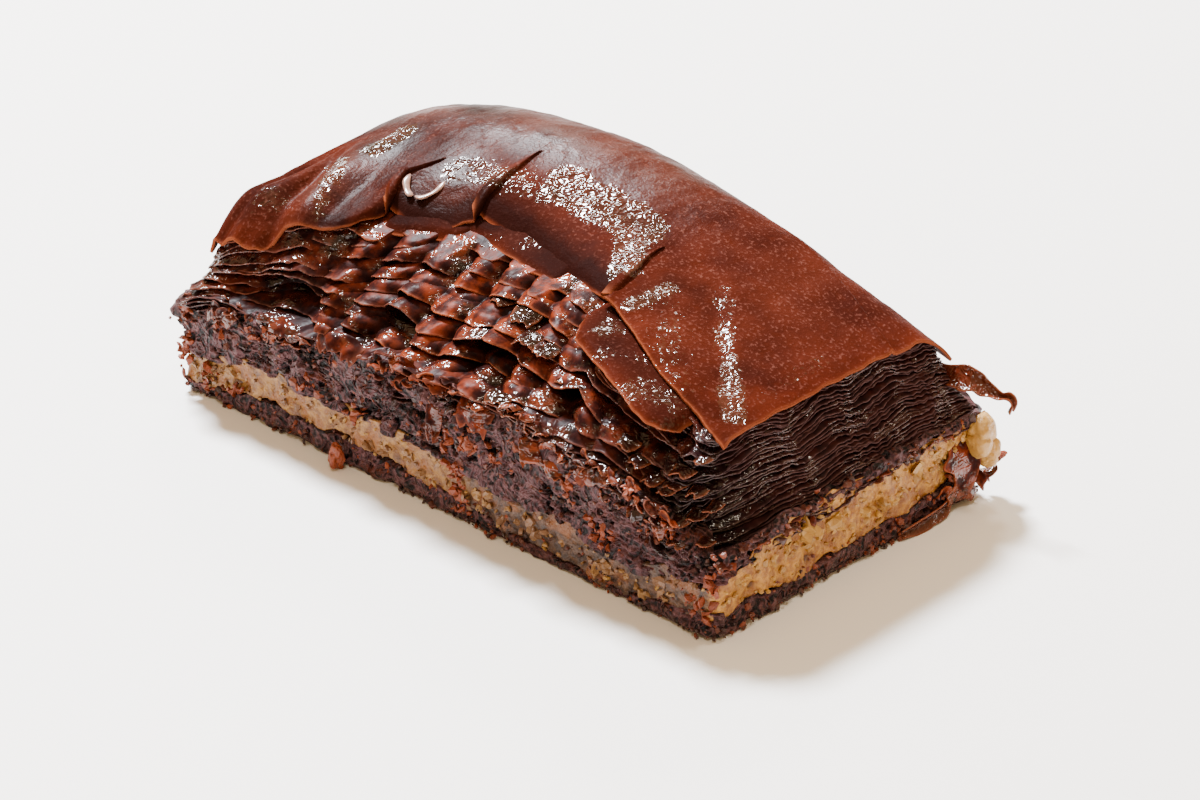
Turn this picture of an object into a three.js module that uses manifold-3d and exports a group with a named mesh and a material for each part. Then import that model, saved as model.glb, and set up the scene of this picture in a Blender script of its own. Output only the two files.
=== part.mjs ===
// One piece of chocolate baklava, cut as a rectangle: a thin base of dark pastry leaves, a band of
// chopped nuts, and a domed stack of cocoa leaves whose edges step back up to one glazed top leaf.
// Millimetres, +Z up. X runs along the long side and -Y is the long cut face where the leaves open.
// The origin is on the table, under the middle of the piece.
import * as THREE from "three";
import { mergeVertices } from "three/addons/utils/BufferGeometryUtils.js";
import Module from "manifold-3d";

const wasm = await Module();
wasm.setup();

// Driving dimensions
const LENGTH = 72;
const WIDTH = 38.4;
const CREST_HEIGHT = 27;
const BASE_TOP = 3;
const FILLING_TOP = 7.6;
const LAYER_GAP = 0.3;

// The base is thinner towards the front right corner, and the nut band too: per millimetre along X
// and Y, and by how much at the corner itself, within what reach.
const BASE_TILT = { x: -0.014, y: 0.03, atCorner: 0.7, reach: 8 };
const FILLING_DIP = { atCorner: 1.9, reach: 18 };

const HALF_LENGTH = LENGTH / 2;
const HALF_WIDTH = WIDTH / 2;

// An outline is walked anticlockwise, seen from above, from the front left corner. These are its
// points on a long and on a short side: many for the leaves, fewer for what lies under them.
const LEAF_COUNTS = { long: 40, short: 20 };
const LOWER_COUNTS = { long: 32, short: 17 };

// Dome: where its crest lies, how far it falls to each end, and to the front and the back. The
// crest's line runs slantwise, CREST_LEAN further back for each millimetre to the right.
const CREST = { x: -7, y: 8.5 };
const CREST_LEAN = 0.1;
const LEFT_FALL = 7.6;
const RIGHT_FALL = 11.2;
const FRONT_DROP = 10.3;
const FRONT_DROP_X = -11;
const FRONT_DROP_REACH = 17;
const LEFT_END_DROP = 3;
const BACK_DROP = 5.5;

// The front left shoulder rolls over more steeply: by how much, from which y on, how far that
// takes, and between which x it fades out.
const SHOULDER = { drop: 2.8, fromY: -11, reach: 6, fullX: -26, noneX: -14 };

// Leaf steps. The leaves under CUT_SHARE of the stack end at the cut faces. From there up they
// stand back, at the top leaf by TOP_INSET. Along the front that grows from least at the corners
// to most at middleX, within a reach to the left and to the right.
const STEP_COUNT = 9;
const CUT_SHARE = 0.5;
const TOP_INSET = { right: 4.5, back: 1.2, left: 2.2 };
const FRONT_INSET = { least: 3, most: 13, middleX: -6, leftReach: 17, rightReach: 27 };
const EDGE_THICKNESS_SHARE = 0.62;
const UNDERCUT = 0.6;
const RAGGED = 0.42;
const TOP_RAGGED = 0.2;

// The leaves' edges rise and fall together in columns, more on the front than on the back.
const SCALLOP = { height: 0.36, backShare: 0.4, perX: 1.2, perY: 0.5, perLevel: 2.1 };

// The leaves part at this step, in four dark mouths along the front.
const GAP_STEP = 5;
const GAP_HEIGHT = 1.2;
const GAP_DEPTH = 3.2;
const GAP_MOUTHS = [
  { x: -22, width: 3.5 },
  { x: -6, width: 4 },
  { x: 6, width: 4.5 },
  { x: 17, width: 2.5 },
];

// The top leaf is pleated: at each pleat its front edge is drawn back, and a ridge runs from there
// towards the crest. slant is how far the ridge leans to the right for each millimetre it goes back.
const PLEATS = [
  { x: -31, drawn: 0.4, height: 0.8, width: 1.6, slant: 0.25 },
  { x: -26, drawn: 0.6, height: 1.1, width: 1.9, slant: 0.35 },
  { x: -18, drawn: 2.2, height: 1.0, width: 2.2, slant: 0.5 },
  { x: -9, drawn: 2.8, height: 0.9, width: 2.4, slant: 0.6 },
  { x: 10.5, drawn: 3.2, height: 0.9, width: 2.6, slant: 0.4 },
];
const PLEAT_REACH = 10;
const PLEAT_RISE = 5;
const PLEAT_RETURN = 1.6;

// The corner of one leaf curls out at the back of the right end.
const CORNER_FLAKE = { step: 4, length: 2.6, width: 2.4 };

const COLOURS = { pastry: 0x4a2018, base: 0x3a2220, filling: 0xb98a4e };

const bell = (t) => Math.exp(-t * t);
const lerp = (a, b, t) => a + (b - a) * t;
const clamp01 = (t) => Math.min(1, Math.max(0, t));
const smooth = (t) => clamp01(t) ** 2 * (3 - 2 * clamp01(t));

// A seeded random draw (mulberry32), so that every build is the same.
function randomSource(seed) {
  let state = seed;
  return () => {
    state = (state + 0x6d2b79f5) | 0;
    let t = Math.imul(state ^ (state >>> 15), 1 | state);
    t = (t + Math.imul(t ^ (t >>> 7), 61 | t)) ^ t;
    return ((t ^ (t >>> 14)) >>> 0) / 4294967296;
  };
}

// Three crossed waves of unlike lengths, from -1 to 1: the uneven run of a cut or a torn edge.
function waves(along, phase) {
  return (
    (Math.sin(along * 0.83 + phase) +
      Math.sin(along * 1.71 + phase * 2.3) +
      Math.sin(along * 0.37 + phase * 0.7)) /
    3
  );
}

// Height of the top leaf over the whole plan, carried on past its edges to the cut faces.
function domeHeight(x, y) {
  const toLeft = Math.max(0, CREST.x - x) / (CREST.x + HALF_LENGTH);
  const toRight = Math.max(0, x - CREST.x) / (HALF_LENGTH - CREST.x);
  const crestY = CREST.y + CREST_LEAN * x;
  const toFront = Math.max(0, crestY - y);
  const toBack = Math.max(0, y - crestY) / (HALF_WIDTH - crestY);
  const dropWidth = x < FRONT_DROP_X ? 33 : 19;
  const slope =
    FRONT_DROP *
    bell((x - FRONT_DROP_X) / dropWidth) *
    (1 - Math.exp(-((toFront / FRONT_DROP_REACH) ** 1.6)));
  const leftEnd = LEFT_END_DROP * (toFront / (crestY + HALF_WIDTH));
  const shoulder =
    SHOULDER.drop *
    smooth((SHOULDER.fromY - y) / SHOULDER.reach) *
    smooth((SHOULDER.noneX - x) / (SHOULDER.noneX - SHOULDER.fullX));
  return (
    CREST_HEIGHT -
    LEFT_FALL * toLeft ** 3 -
    RIGHT_FALL * toRight ** 1.5 -
    lerp(leftEnd, slope, smooth((x + HALF_LENGTH) / 20)) -
    shoulder -
    BACK_DROP * toBack ** 2.2
  );
}

// Heights of the base and of the nut band. nearCorner is 1 at the front right corner.
const nearCorner = (x, y, reach) => bell(Math.hypot(x - HALF_LENGTH, y + HALF_WIDTH) / reach);
const baseTop = (x, y) =>
  BASE_TOP +
  BASE_TILT.x * x +
  BASE_TILT.y * y -
  BASE_TILT.atCorner * nearCorner(x, y, BASE_TILT.reach);
const fillingTop = (x, y) =>
  FILLING_TOP - FILLING_DIP.atCorner * nearCorner(x, y, FILLING_DIP.reach);

// How far the top leaf's front edge stands back: deepest in the middle, steeper on the left.
function frontInset(x) {
  const { least, most, middleX, leftReach, rightReach } = FRONT_INSET;
  const off = Math.abs(x - middleX);
  const fall = x < middleX ? (off / leftReach) ** 3 : (off / rightReach) ** 2.2;
  return lerp(least, most, Math.exp(-fall));
}

// How far the pleats draw the top leaf's edge back at x: slowly up to each pleat, then at once.
function pleatDraw(x) {
  const tooth = (t) => (t < 0 ? smooth(1 + t / PLEAT_RISE) : smooth(1 - t / PLEAT_RETURN));
  return PLEATS.reduce((sum, pleat) => sum + pleat.drawn * tooth(x - pleat.x), 0);
}

// The ridges of the pleats, which fade towards the crest.
function pleatRelief(x, y) {
  const behindEdge = Math.max(0, y + HALF_WIDTH - frontInset(x));
  const fade = Math.exp(-behindEdge / PLEAT_REACH);
  return PLEATS.reduce((sum, pleat) => {
    const off = x - pleat.x - pleat.slant * behindEdge;
    return sum + pleat.height * fade * bell(off / pleat.width);
  }, 0);
}

// One point of an outline that stands in by inset(side, x) from the four cut faces.
function outlinePoint(side, t, inset) {
  const left = -HALF_LENGTH + inset("left", 0);
  const right = HALF_LENGTH - inset("right", 0);
  const back = HALF_WIDTH - inset("back", 0);
  const frontAt = (x) => -HALF_WIDTH + inset("front", x);
  if (side === "front") {
    const x = lerp(left, right, t);
    return [x, frontAt(x)];
  }
  if (side === "right") return [right, lerp(frontAt(right), back, t)];
  if (side === "back") return [lerp(right, left, t), back];
  return [left, lerp(back, frontAt(left), t)];
}

// A whole outline as a ring of 3-D points. waver pushes each point in or out of its cut face, by
// how far round the outline it lies.
function ring(counts, inset, heightAt, waver = () => 0) {
  const sides = [
    { side: "front", out: [0, -1], count: counts.long, length: LENGTH },
    { side: "right", out: [1, 0], count: counts.short, length: WIDTH },
    { side: "back", out: [0, 1], count: counts.long, length: LENGTH },
    { side: "left", out: [-1, 0], count: counts.short, length: WIDTH },
  ];
  const points = [];
  let walked = 0;
  for (const { side, out, count, length } of sides) {
    for (let i = 0; i < count; i++) {
      const t = i / count;
      const [x, y] = outlinePoint(side, t, inset);
      const push = waver(walked + t * length);
      const px = x + out[0] * push;
      const py = y + out[1] * push;
      points.push([px, py, heightAt(px, py, side)]);
    }
    walked += length;
  }
  return points;
}

// Triangles of the skin that joins rings of equal length, with a fan that closes the lowest.
function skinTriangles(rings, bottomIndex) {
  const around = rings[0].length;
  const index = [];
  for (let j = 0; j < around; j++) {
    const next = (j + 1) % around;
    index.push(bottomIndex, next, j);
    for (let i = 0; i + 1 < rings.length; i++) {
      const a = i * around;
      const b = a + around;
      index.push(a + j, a + next, b + next, a + j, b + next, b + j);
    }
  }
  return index;
}

function geometryFrom(points, index) {
  const geometry = new THREE.BufferGeometry();
  geometry.setAttribute("position", new THREE.Float32BufferAttribute(points.flat(), 3));
  return geometry.setIndex(index);
}

// A closed slab: rings, a bottom point, and a fan to a top point.
function slab(rings, bottom, top) {
  const points = [...rings.flat(), bottom, top];
  const bottomIndex = points.length - 2;
  const index = skinTriangles(rings, bottomIndex);
  const around = rings[0].length;
  const last = (rings.length - 1) * around;
  for (let j = 0; j < around; j++) {
    index.push(bottomIndex + 1, last + j, last + ((j + 1) % around));
  }
  return geometryFrom(points, index);
}

// A closed form whose last ring is spanned by a grid, blended from the ring's four sides, so that
// the top has no pole. heightAt gives the grid's height.
function domedForm(rings, bottom, counts, heightAt) {
  const edge = rings[rings.length - 1];
  const around = edge.length;
  const { long, short } = counts;
  const points = [...rings.flat(), bottom];
  const bottomIndex = points.length - 1;
  const edgeStart = (rings.length - 1) * around;
  const onEdge = (i, j) => {
    if (j === 0) return i;
    if (i === long) return long + j;
    if (j === short) return long + short + (long - i);
    return around - j;
  };
  const inside = (i, j) => i > 0 && i < long && j > 0 && j < short;
  const gridStart = points.length;
  for (let j = 1; j < short; j++) {
    for (let i = 1; i < long; i++) {
      const u = i / long;
      const v = j / short;
      const at = [0, 1].map((k) => {
        const side = (a, b) => edge[onEdge(a, b)][k];
        const along = lerp(side(i, 0), side(i, short), v);
        const across = lerp(side(0, j), side(long, j), u);
        const corners = lerp(
          lerp(side(0, 0), side(long, 0), u),
          lerp(side(0, short), side(long, short), u),
          v,
        );
        return along + across - corners;
      });
      points.push([...at, heightAt(...at)]);
    }
  }
  const pointAt = (i, j) =>
    inside(i, j) ? gridStart + (j - 1) * (long - 1) + i - 1 : edgeStart + onEdge(i, j);
  const index = skinTriangles(rings, bottomIndex);
  for (let j = 0; j < short; j++) {
    for (let i = 0; i < long; i++) {
      const [a, b] = [pointAt(i, j), pointAt(i + 1, j)];
      const [c, d] = [pointAt(i + 1, j + 1), pointAt(i, j + 1)];
      index.push(a, b, c, a, c, d);
    }
  }
  return geometryFrom(points, index);
}

const evenInset = (value) => () => value;

// Base: a thin slab of pressed leaves with a ragged rim, flat underneath.
function baseGeometry() {
  const outline = (inset, heightAt, waver) =>
    ring(LOWER_COUNTS, evenInset(inset), heightAt, waver);
  const ragged = (phase, size) => (s) => size * waves(s * 1.9, phase);
  const rimTop = (x, y) => baseTop(x, y) + 0.25 * waves(x + y, 2);
  return slab(
    [
      outline(0.9, () => 0, ragged(1, 0.3)),
      outline(0.2, () => 0.9, ragged(5, 0.45)),
      outline(0.3, rimTop, ragged(3, 0.35)),
      outline(2.5, baseTop),
    ],
    [0, 0, 0],
    [0, 0, baseTop(0, 0)],
  );
}

// Filling core: the packed nut paste between base and leaves.
function fillingCoreGeometry() {
  const outline = (inset, heightAt, waver) =>
    ring(LOWER_COUNTS, evenInset(inset), heightAt, waver);
  const floor = (x, y) => baseTop(x, y) + LAYER_GAP;
  const rimFloor = (x, y) => floor(x, y) + 0.25 * waves(x + y, 2);
  const rimTop = (x, y) => fillingTop(x, y) + 0.35 * waves(x - y, 4);
  const middle = (x, y) => (floor(x, y) + fillingTop(x, y)) / 2;
  return slab(
    [
      outline(2.5, floor),
      outline(0.9, rimFloor, (s) => 0.3 * waves(s * 1.3, 3)),
      outline(0.5, middle, (s) => 0.4 * waves(s * 1.6, 8)),
      outline(0.9, rimTop, (s) => 0.3 * waves(s * 1.2, 6)),
      outline(3, fillingTop),
    ],
    [0, 0, floor(0, 0)],
    [0, 0, fillingTop(0, 0)],
  );
}

function toSolid(geometry) {
  const bare = geometry.clone();
  bare.deleteAttribute("normal");
  bare.deleteAttribute("uv");
  const merged = mergeVertices(bare, 1e-4);
  return new wasm.Manifold(
    new wasm.Mesh({
      numProp: 3,
      vertProperties: merged.attributes.position.array,
      triVerts: new Uint32Array(merged.index.array),
    }),
  );
}

function toGeometry(solid) {
  const mesh = solid.getMesh();
  const geometry = new THREE.BufferGeometry();
  geometry.setAttribute("position", new THREE.BufferAttribute(mesh.vertProperties, 3));
  return geometry.setIndex(new THREE.BufferAttribute(mesh.triVerts, 1));
}

// One chopped nut: a squashed icosahedron, turned at random.
function nutGeometry(random, size, centre) {
  const nut = new THREE.IcosahedronGeometry(size / 2, 0);
  nut.scale(lerp(0.9, 1.3, random()), lerp(0.7, 1, random()), lerp(0.6, 0.85, random()));
  nut.rotateX(random() * Math.PI);
  nut.rotateZ(random() * Math.PI);
  return nut.translate(...centre);
}

// The broken half nut that sticks out at the back right corner: a long lobe and a short one.
function cornerNutGeometries() {
  const z = (baseTop(HALF_LENGTH, HALF_WIDTH) + FILLING_TOP) / 2 + 0.1;
  const lobe = (radius, reach, x, y) =>
    new THREE.IcosahedronGeometry(radius, 1)
      .scale(0.75, reach, 0.92)
      .rotateZ(0.5)
      .translate(HALF_LENGTH + x, HALF_WIDTH + y, z);
  return [lobe(1.5, 1.35, -0.8, -2.2), lobe(1.2, 1.2, -1.2, -0.9)];
}

// Chopped nuts are set along the cut faces, half sunk in the core.
function fillingGeometry() {
  const random = randomSource(41);
  const NUTS = { front: 30, right: 18, back: 16, left: 10 };
  const CLEAR = 0.25;
  let solid = toSolid(fillingCoreGeometry());
  for (const [side, count] of Object.entries(NUTS)) {
    for (let i = 0; i < count; i++) {
      const t = (i + lerp(0.2, 0.8, random())) / count;
      const [x, y] = outlinePoint(side, t, evenInset(lerp(0.5, 0.9, random())));
      const size = lerp(1.3, 2.7, random() ** 1.5);
      const reach = 0.62 * size + CLEAR;
      const low = baseTop(x, y) + LAYER_GAP + 0.25 + reach;
      const high = fillingTop(x, y) - 0.35 - reach;
      const z = low < high ? lerp(low, high, random()) : (low + high) / 2;
      const fitted = low < high ? size : size * 0.75;
      solid = solid.add(toSolid(nutGeometry(random, fitted, [x, y, z])));
    }
  }
  for (const lobe of cornerNutGeometries()) solid = solid.add(toSolid(lobe));
  return toGeometry(solid);
}

// How far the step at level (0 at the nuts, 1 at the top leaf) stands in from each cut face.
function stepInset(level, side, x) {
  const climb = clamp01((level - CUT_SHARE) / (1 - CUT_SHARE));
  if (side === "front") return frontInset(x) * climb ** 1.05;
  return TOP_INSET[side] * smooth(level) ** 0.8;
}

const gapMouth = (x) => Math.max(...GAP_MOUTHS.map((mouth) => bell((x - mouth.x) / mouth.width)));

// Upper pastry: rings climb the stepped edges, three to a step, to the edge of the top leaf.
function upperPastryGeometry() {
  const outline = (inset, heightAt, waver) => ring(LEAF_COUNTS, inset, heightAt, waver);
  const floor = (x, y) => fillingTop(x, y) + LAYER_GAP;
  const scallop = (x, y, level) =>
    SCALLOP.height *
    level *
    (y < 0 ? 1 : SCALLOP.backShare) *
    Math.sin(x * SCALLOP.perX + y * SCALLOP.perY + level * SCALLOP.perLevel);
  const heightAt = (level) => (x, y) =>
    lerp(floor(x, y) + 0.25, domeHeight(x, y), level) + scallop(x, y, level);
  const topHeight = (x, y) => domeHeight(x, y) + pleatRelief(x, y);
  const gapLift = (step, x, side) => {
    if (side !== "front" || step < GAP_STEP) return 0;
    const stepsAbove = (step - GAP_STEP) / (STEP_COUNT + 1 - GAP_STEP);
    return GAP_HEIGHT * gapMouth(x) * (1 - stepsAbove);
  };
  const flakeAt = LENGTH + WIDTH - CORNER_FLAKE.width;
  const flakeOut = (step, s) =>
    step === CORNER_FLAKE.step ? CORNER_FLAKE.length * bell((s - flakeAt) / CORNER_FLAKE.width) : 0;

  const rimFloor = (x, y) => floor(x, y) + 0.35 * waves(x - y, 4);
  const rings = [
    outline(evenInset(3), floor),
    outline(evenInset(0.7), rimFloor, (s) => 0.3 * waves(s * 1.2, 6)),
  ];
  for (let step = 0; step < STEP_COUNT; step++) {
    const level = step / STEP_COUNT;
    const edgeTop = level + EDGE_THICKNESS_SHARE / STEP_COUNT;
    const isTop = step === STEP_COUNT - 1;
    const ragged = (s) =>
      (isTop ? TOP_RAGGED : RAGGED) * waves(s * 1.15, 3 + step * 1.7) + flakeOut(step, s);
    const inset = (extra) => (side, x) => {
      const mouth = step === GAP_STEP && side === "front" ? GAP_DEPTH * gapMouth(x) : 0;
      const drawn = isTop && side === "front" ? pleatDraw(x) : 0;
      return stepInset(isTop ? 1 : level, side, x) + drawn + extra + (extra ? mouth : 0);
    };
    const lifted = (share) => (x, y, side) => heightAt(share)(x, y) + gapLift(step, x, side);
    if (step) rings.push(outline(inset(UNDERCUT), heightAt(level)));
    if (step === GAP_STEP) rings.push(outline(inset(UNDERCUT), lifted(level + 0.01)));
    rings.push(outline(inset(0), lifted(level + 0.01), ragged));
    rings.push(outline(inset(0.12), isTop ? topHeight : lifted(edgeTop), ragged));
  }
  return domedForm(rings, [0, 0, floor(0, 0)], LEAF_COUNTS, topHeight);
}

function piece(name, geometry, colour, roughness) {
  geometry.computeVertexNormals();
  const material = new THREE.MeshStandardMaterial({ color: colour, roughness, metalness: 0 });
  const mesh = new THREE.Mesh(geometry, material);
  mesh.name = name;
  return mesh;
}

const baklava = new THREE.Group();
baklava.add(
  piece("base_pastry", baseGeometry(), COLOURS.base, 0.75),
  piece("nut_filling", fillingGeometry(), COLOURS.filling, 0.7),
  piece("upper_pastry", upperPastryGeometry(), COLOURS.pastry, 0.35),
);

export default baklava;
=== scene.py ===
# %% [markdown]
# # One piece of chocolate baklava
# The piece lies on a bare pale table. A thin base of pressed pastry leaves carries a band of chopped
# nuts. Above the nuts comes a stack of cocoa leaves: cut flush low down, stepped back higher up, and
# closed by one glazed leaf that lies in pleats over the dome.
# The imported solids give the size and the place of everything. They could carry a finish of their own,
# but paper-thin leaves and crumbs are too fine for them, so each solid is replaced here by thin
# leaves, crusts and crumbs that are worked out from the same sizes.

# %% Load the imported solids
import math

import bpy
import numpy as np
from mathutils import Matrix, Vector


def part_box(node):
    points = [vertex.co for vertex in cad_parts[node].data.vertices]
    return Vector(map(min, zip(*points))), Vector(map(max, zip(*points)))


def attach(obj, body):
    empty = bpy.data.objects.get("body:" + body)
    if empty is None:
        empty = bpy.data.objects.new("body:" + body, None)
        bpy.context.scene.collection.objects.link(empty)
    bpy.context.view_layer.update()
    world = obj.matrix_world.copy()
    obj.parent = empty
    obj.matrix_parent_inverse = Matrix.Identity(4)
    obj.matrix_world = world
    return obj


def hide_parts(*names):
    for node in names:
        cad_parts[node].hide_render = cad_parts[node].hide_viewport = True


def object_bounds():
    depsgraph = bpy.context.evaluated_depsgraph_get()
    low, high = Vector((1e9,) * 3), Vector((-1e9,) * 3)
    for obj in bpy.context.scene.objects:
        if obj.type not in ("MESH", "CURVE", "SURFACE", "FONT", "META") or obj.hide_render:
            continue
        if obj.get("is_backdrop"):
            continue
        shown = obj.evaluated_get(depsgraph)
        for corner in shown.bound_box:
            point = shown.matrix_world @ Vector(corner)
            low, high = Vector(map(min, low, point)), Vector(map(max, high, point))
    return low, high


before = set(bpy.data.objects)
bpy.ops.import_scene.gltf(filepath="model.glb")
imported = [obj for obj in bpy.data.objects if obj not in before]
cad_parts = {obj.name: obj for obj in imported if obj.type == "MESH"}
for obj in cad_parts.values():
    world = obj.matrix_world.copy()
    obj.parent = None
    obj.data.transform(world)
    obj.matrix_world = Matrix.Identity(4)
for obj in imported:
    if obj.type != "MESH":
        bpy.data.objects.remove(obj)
cad_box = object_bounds()
MM = 0.001
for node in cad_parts:
    low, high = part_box(node)
    print(node, "from", [round(c / MM, 1) for c in low], "to", [round(c / MM, 1) for c in high], "mm")


# %% [markdown]
# ## Camera and light
# The camera stands where the photographer stood, which was worked out from the corners of the piece.
# One wide lamp from the left and behind makes the soft shadow and the white glints on the syrup.
# One lamp alone would leave the front dull, so three weak ones add glints there. The world around is
# warm and even, so the shadow on the table turns tan, not black.

# %% Camera
AZIMUTH, ELEVATION, DISTANCE = math.radians(43.42), math.radians(27.84), 320 * MM
AIM = Vector((8.40, -4.74, 9.0)) * MM
FOCAL_LENGTH, SENSOR_WIDTH, NEAREST = 102.2, 36, 0.01


def direction(azimuth, elevation):
    """Unit vector seen from the piece: azimuth turns from -Y towards +X, elevation rises from the table."""
    return Vector((
        math.sin(azimuth) * math.cos(elevation),
        -math.cos(azimuth) * math.cos(elevation),
        math.sin(elevation),
    ))


def aimed(name, data, azimuth, elevation, distance):
    """An object at that distance from the aim, turned so that it looks at the aim."""
    thing = bpy.data.objects.new(name, data)
    bpy.context.scene.collection.objects.link(thing)
    away = direction(azimuth, elevation)
    thing.location = AIM + away * distance
    thing.rotation_euler = away.to_track_quat("Z", "Y").to_euler()
    return thing


lens = bpy.data.cameras.new("camera")
lens.lens, lens.sensor_width, lens.clip_start = FOCAL_LENGTH, SENSOR_WIDTH, NEAREST
camera = aimed("camera", lens, AZIMUTH, ELEVATION, DISTANCE)
bpy.context.scene.camera = camera
print("camera at", [round(c / MM) for c in camera.location], "mm")


# %% Lamps and world
# Azimuth and elevation in degrees, distance, (width, height) in metres, power in watts, colour.
LAMPS = {
    "window_lamp": (-109, 50, 0.9, (0.20, 0.12), 45, (0.92, 0.95, 1.0)),
    "back_window": (-141, 31, 1.0, (0.18, 0.14), 3.2, (1.0, 0.93, 0.88)),
    "front_lamp": (36, 62, 1.0, (0.08, 0.05), 2.6, (1.0, 0.84, 0.68)),
    "top_lamp": (138, 70, 1.0, (0.10, 0.08), 2.6, (1.0, 0.88, 0.72)),
}
ROOM_COLOUR, ROOM_STRENGTH = (1.0, 0.67, 0.34, 1.0), 0.82

for name, (azimuth, elevation, distance, size, power, colour) in LAMPS.items():
    soft = bpy.data.lights.new(name, "AREA")
    soft.shape, soft.size, soft.size_y = "RECTANGLE", *size
    soft.energy, soft.color = power, colour
    aimed(name, soft, math.radians(azimuth), math.radians(elevation), distance)

world = bpy.data.worlds.new("room")
bpy.context.scene.world = world
world.use_nodes = True
room = world.node_tree.nodes["Background"]
room.inputs["Color"].default_value = ROOM_COLOUR
room.inputs["Strength"].default_value = ROOM_STRENGTH
print(len(LAMPS), "lamps in a warm room")


# %% [markdown]
# ## A small language for materials
# A Blender material is a net of nodes. Written out link by link it is hard to read, so one class
# stands for a socket and takes part in sums like a number. A second class is the workbench that
# makes the nodes, sets their sockets and links what is given to it.

# %% Sockets that add up
class Wire:
    """An output socket. Sums with it add Math nodes to the material."""

    def __init__(self, bench, socket):
        self.bench, self.socket = bench, socket

    def _sum(self, operation, first, second):
        return self.bench.node("ShaderNodeMath", {"operation": operation}, {0: first, 1: second})

    def __add__(self, other):
        return self._sum("ADD", self, other)

    def __radd__(self, other):
        return self._sum("ADD", other, self)

    def __sub__(self, other):
        return self._sum("SUBTRACT", self, other)

    def __rsub__(self, other):
        return self._sum("SUBTRACT", other, self)

    def __mul__(self, other):
        return self._sum("MULTIPLY", self, other)

    def __rmul__(self, other):
        return self._sum("MULTIPLY", other, self)


# %% Paint
def paint(red, green, blue):
    """A colour as a painter's 0-255 values, turned to the linear light that the shader wants."""
    def linear(value):
        share = value / 255
        return share / 12.92 if share <= 0.04045 else ((share + 0.055) / 1.055) ** 2.4

    return (linear(red), linear(green), linear(blue), 1.0)


def set_sockets(shader, constants):
    """Numbers that hold all over the surface go on the shader's own sockets."""
    for socket, value in constants.items():
        shader.inputs[socket.replace("_", " ")].default_value = value


print("painted 255, 128, 0 is", [round(c, 3) for c in paint(255, 128, 0)])


# %% The workbench of a material
class Bench:
    """The workbench of one material, around its Principled shader."""

    def __init__(self, name, **constants):
        self.material = bpy.data.materials.new(name)
        self.material.use_nodes = True
        self.tree = self.material.node_tree
        self.shader = self.tree.nodes["Principled BSDF"]
        set_sockets(self.shader, constants)
        self.place = self.node("ShaderNodeTexCoord", output="Object")

    def node(self, kind, settings=None, sockets=None, output=0):
        """Makes a node: first its settings, then the values or wires of its sockets."""
        made = self.tree.nodes.new(kind)
        for name, value in (settings or {}).items():
            setattr(made, name, value)
        for key, value in (sockets or {}).items():
            self.feed(made.inputs[key], value)
        return Wire(self, made.outputs[output])

    def feed(self, socket, value):
        """Links a wire to a socket, or sets the socket to a plain value."""
        if isinstance(value, Wire):
            self.tree.links.new(value.socket, socket)
        else:
            socket.default_value = value

    def noise(self, size_mm, detail=2.0, roughness=0.5, distortion=0.0, stretch=None):
        """Soft random values from 0 to 1, one blob about size_mm across."""
        place = self.place
        if stretch:
            place = self.node("ShaderNodeMapping", sockets={"Vector": place, "Scale": stretch})
        return self.node("ShaderNodeTexNoise", sockets={
            "Vector": place, "Scale": 1.0 / (size_mm * MM), "Detail": detail,
            "Roughness": roughness, "Distortion": distortion,
        })

    def marks(self, name):
        """A number that the mesh carries at each point."""
        return self.node("ShaderNodeAttribute", {"attribute_name": name}, output="Fac")

    def window(self, value, low, high):
        """0 below low, 1 above high, and a soft step between them."""
        return self.node("ShaderNodeMapRange", {"interpolation_type": "SMOOTHSTEP"}, {
            "Value": value, "From Min": low, "From Max": high,
        })

    def mix(self, share, first, second):
        """One colour turning into another: each is a wire or a painter's (red, green, blue)."""
        first, second = (c if isinstance(c, Wire) else paint(*c) for c in (first, second))
        return self.node(
            "ShaderNodeMix", {"data_type": "RGBA"}, {0: share, 6: first, 7: second}, output=2,
        )

    def bump(self, height, distance_mm, strength=1.0, over=None):
        """Relief too fine for the mesh: height from 0 to 1 stands distance_mm high."""
        sockets = {"Height": height, "Distance": distance_mm * MM, "Strength": strength}
        if over:
            sockets["Normal"] = over
        return self.node("ShaderNodeBump", sockets=sockets)

    def finish(self, colour, roughness, normal, shader=None):
        """Links what varies over the surface, and hands over the material."""
        for name, value in (("Base Color", colour), ("Roughness", roughness), ("Normal", normal)):
            self.feed((shader or self.shader).inputs[name], value)
        return self.material

    def sparkle(self, share, colour, roughness, normal, **constants):
        """One more shader, glossier than what is there, that takes its place where share is 1."""
        surface = self.tree.nodes["Material Output"].inputs["Surface"]
        before = surface.links[0].from_socket
        glossy = self.tree.nodes.new("ShaderNodeBsdfPrincipled")
        set_sockets(glossy, constants)
        self.finish(colour, roughness, normal, glossy)
        blend = self.tree.nodes.new("ShaderNodeMixShader")
        self.feed(blend.inputs[0], share)
        self.tree.links.new(before, blend.inputs[1])
        self.tree.links.new(glossy.outputs[0], blend.inputs[2])
        self.tree.links.new(blend.outputs[0], surface)
        return self.material


# %% [markdown]
# ## The sizes of the piece
# The dome, the set-back of the leaves and the height of the nut band are the same formulas that shaped
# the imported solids, here as functions of whole arrays. Everything below is worked out from them, in
# millimetres, so each leaf lies where its solid is.

# %% Simple curves
LENGTH, WIDTH = 72.0, 38.4
HALF_LENGTH, HALF_WIDTH = LENGTH / 2, WIDTH / 2
print("piece", LENGTH, "by", WIDTH, "mm")


def bell(t):
    """1 at 0, falling to nothing on both sides: exp(-t squared)."""
    return np.exp(-t * t)


def smooth(t):
    """0 below 0, 1 above 1, and a soft step between them."""
    t = np.clip(t, 0, 1)
    return t * t * (3 - 2 * t)


def lerp(a, b, share):
    """a at share 0, b at share 1."""
    return a + (b - a) * share


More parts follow.
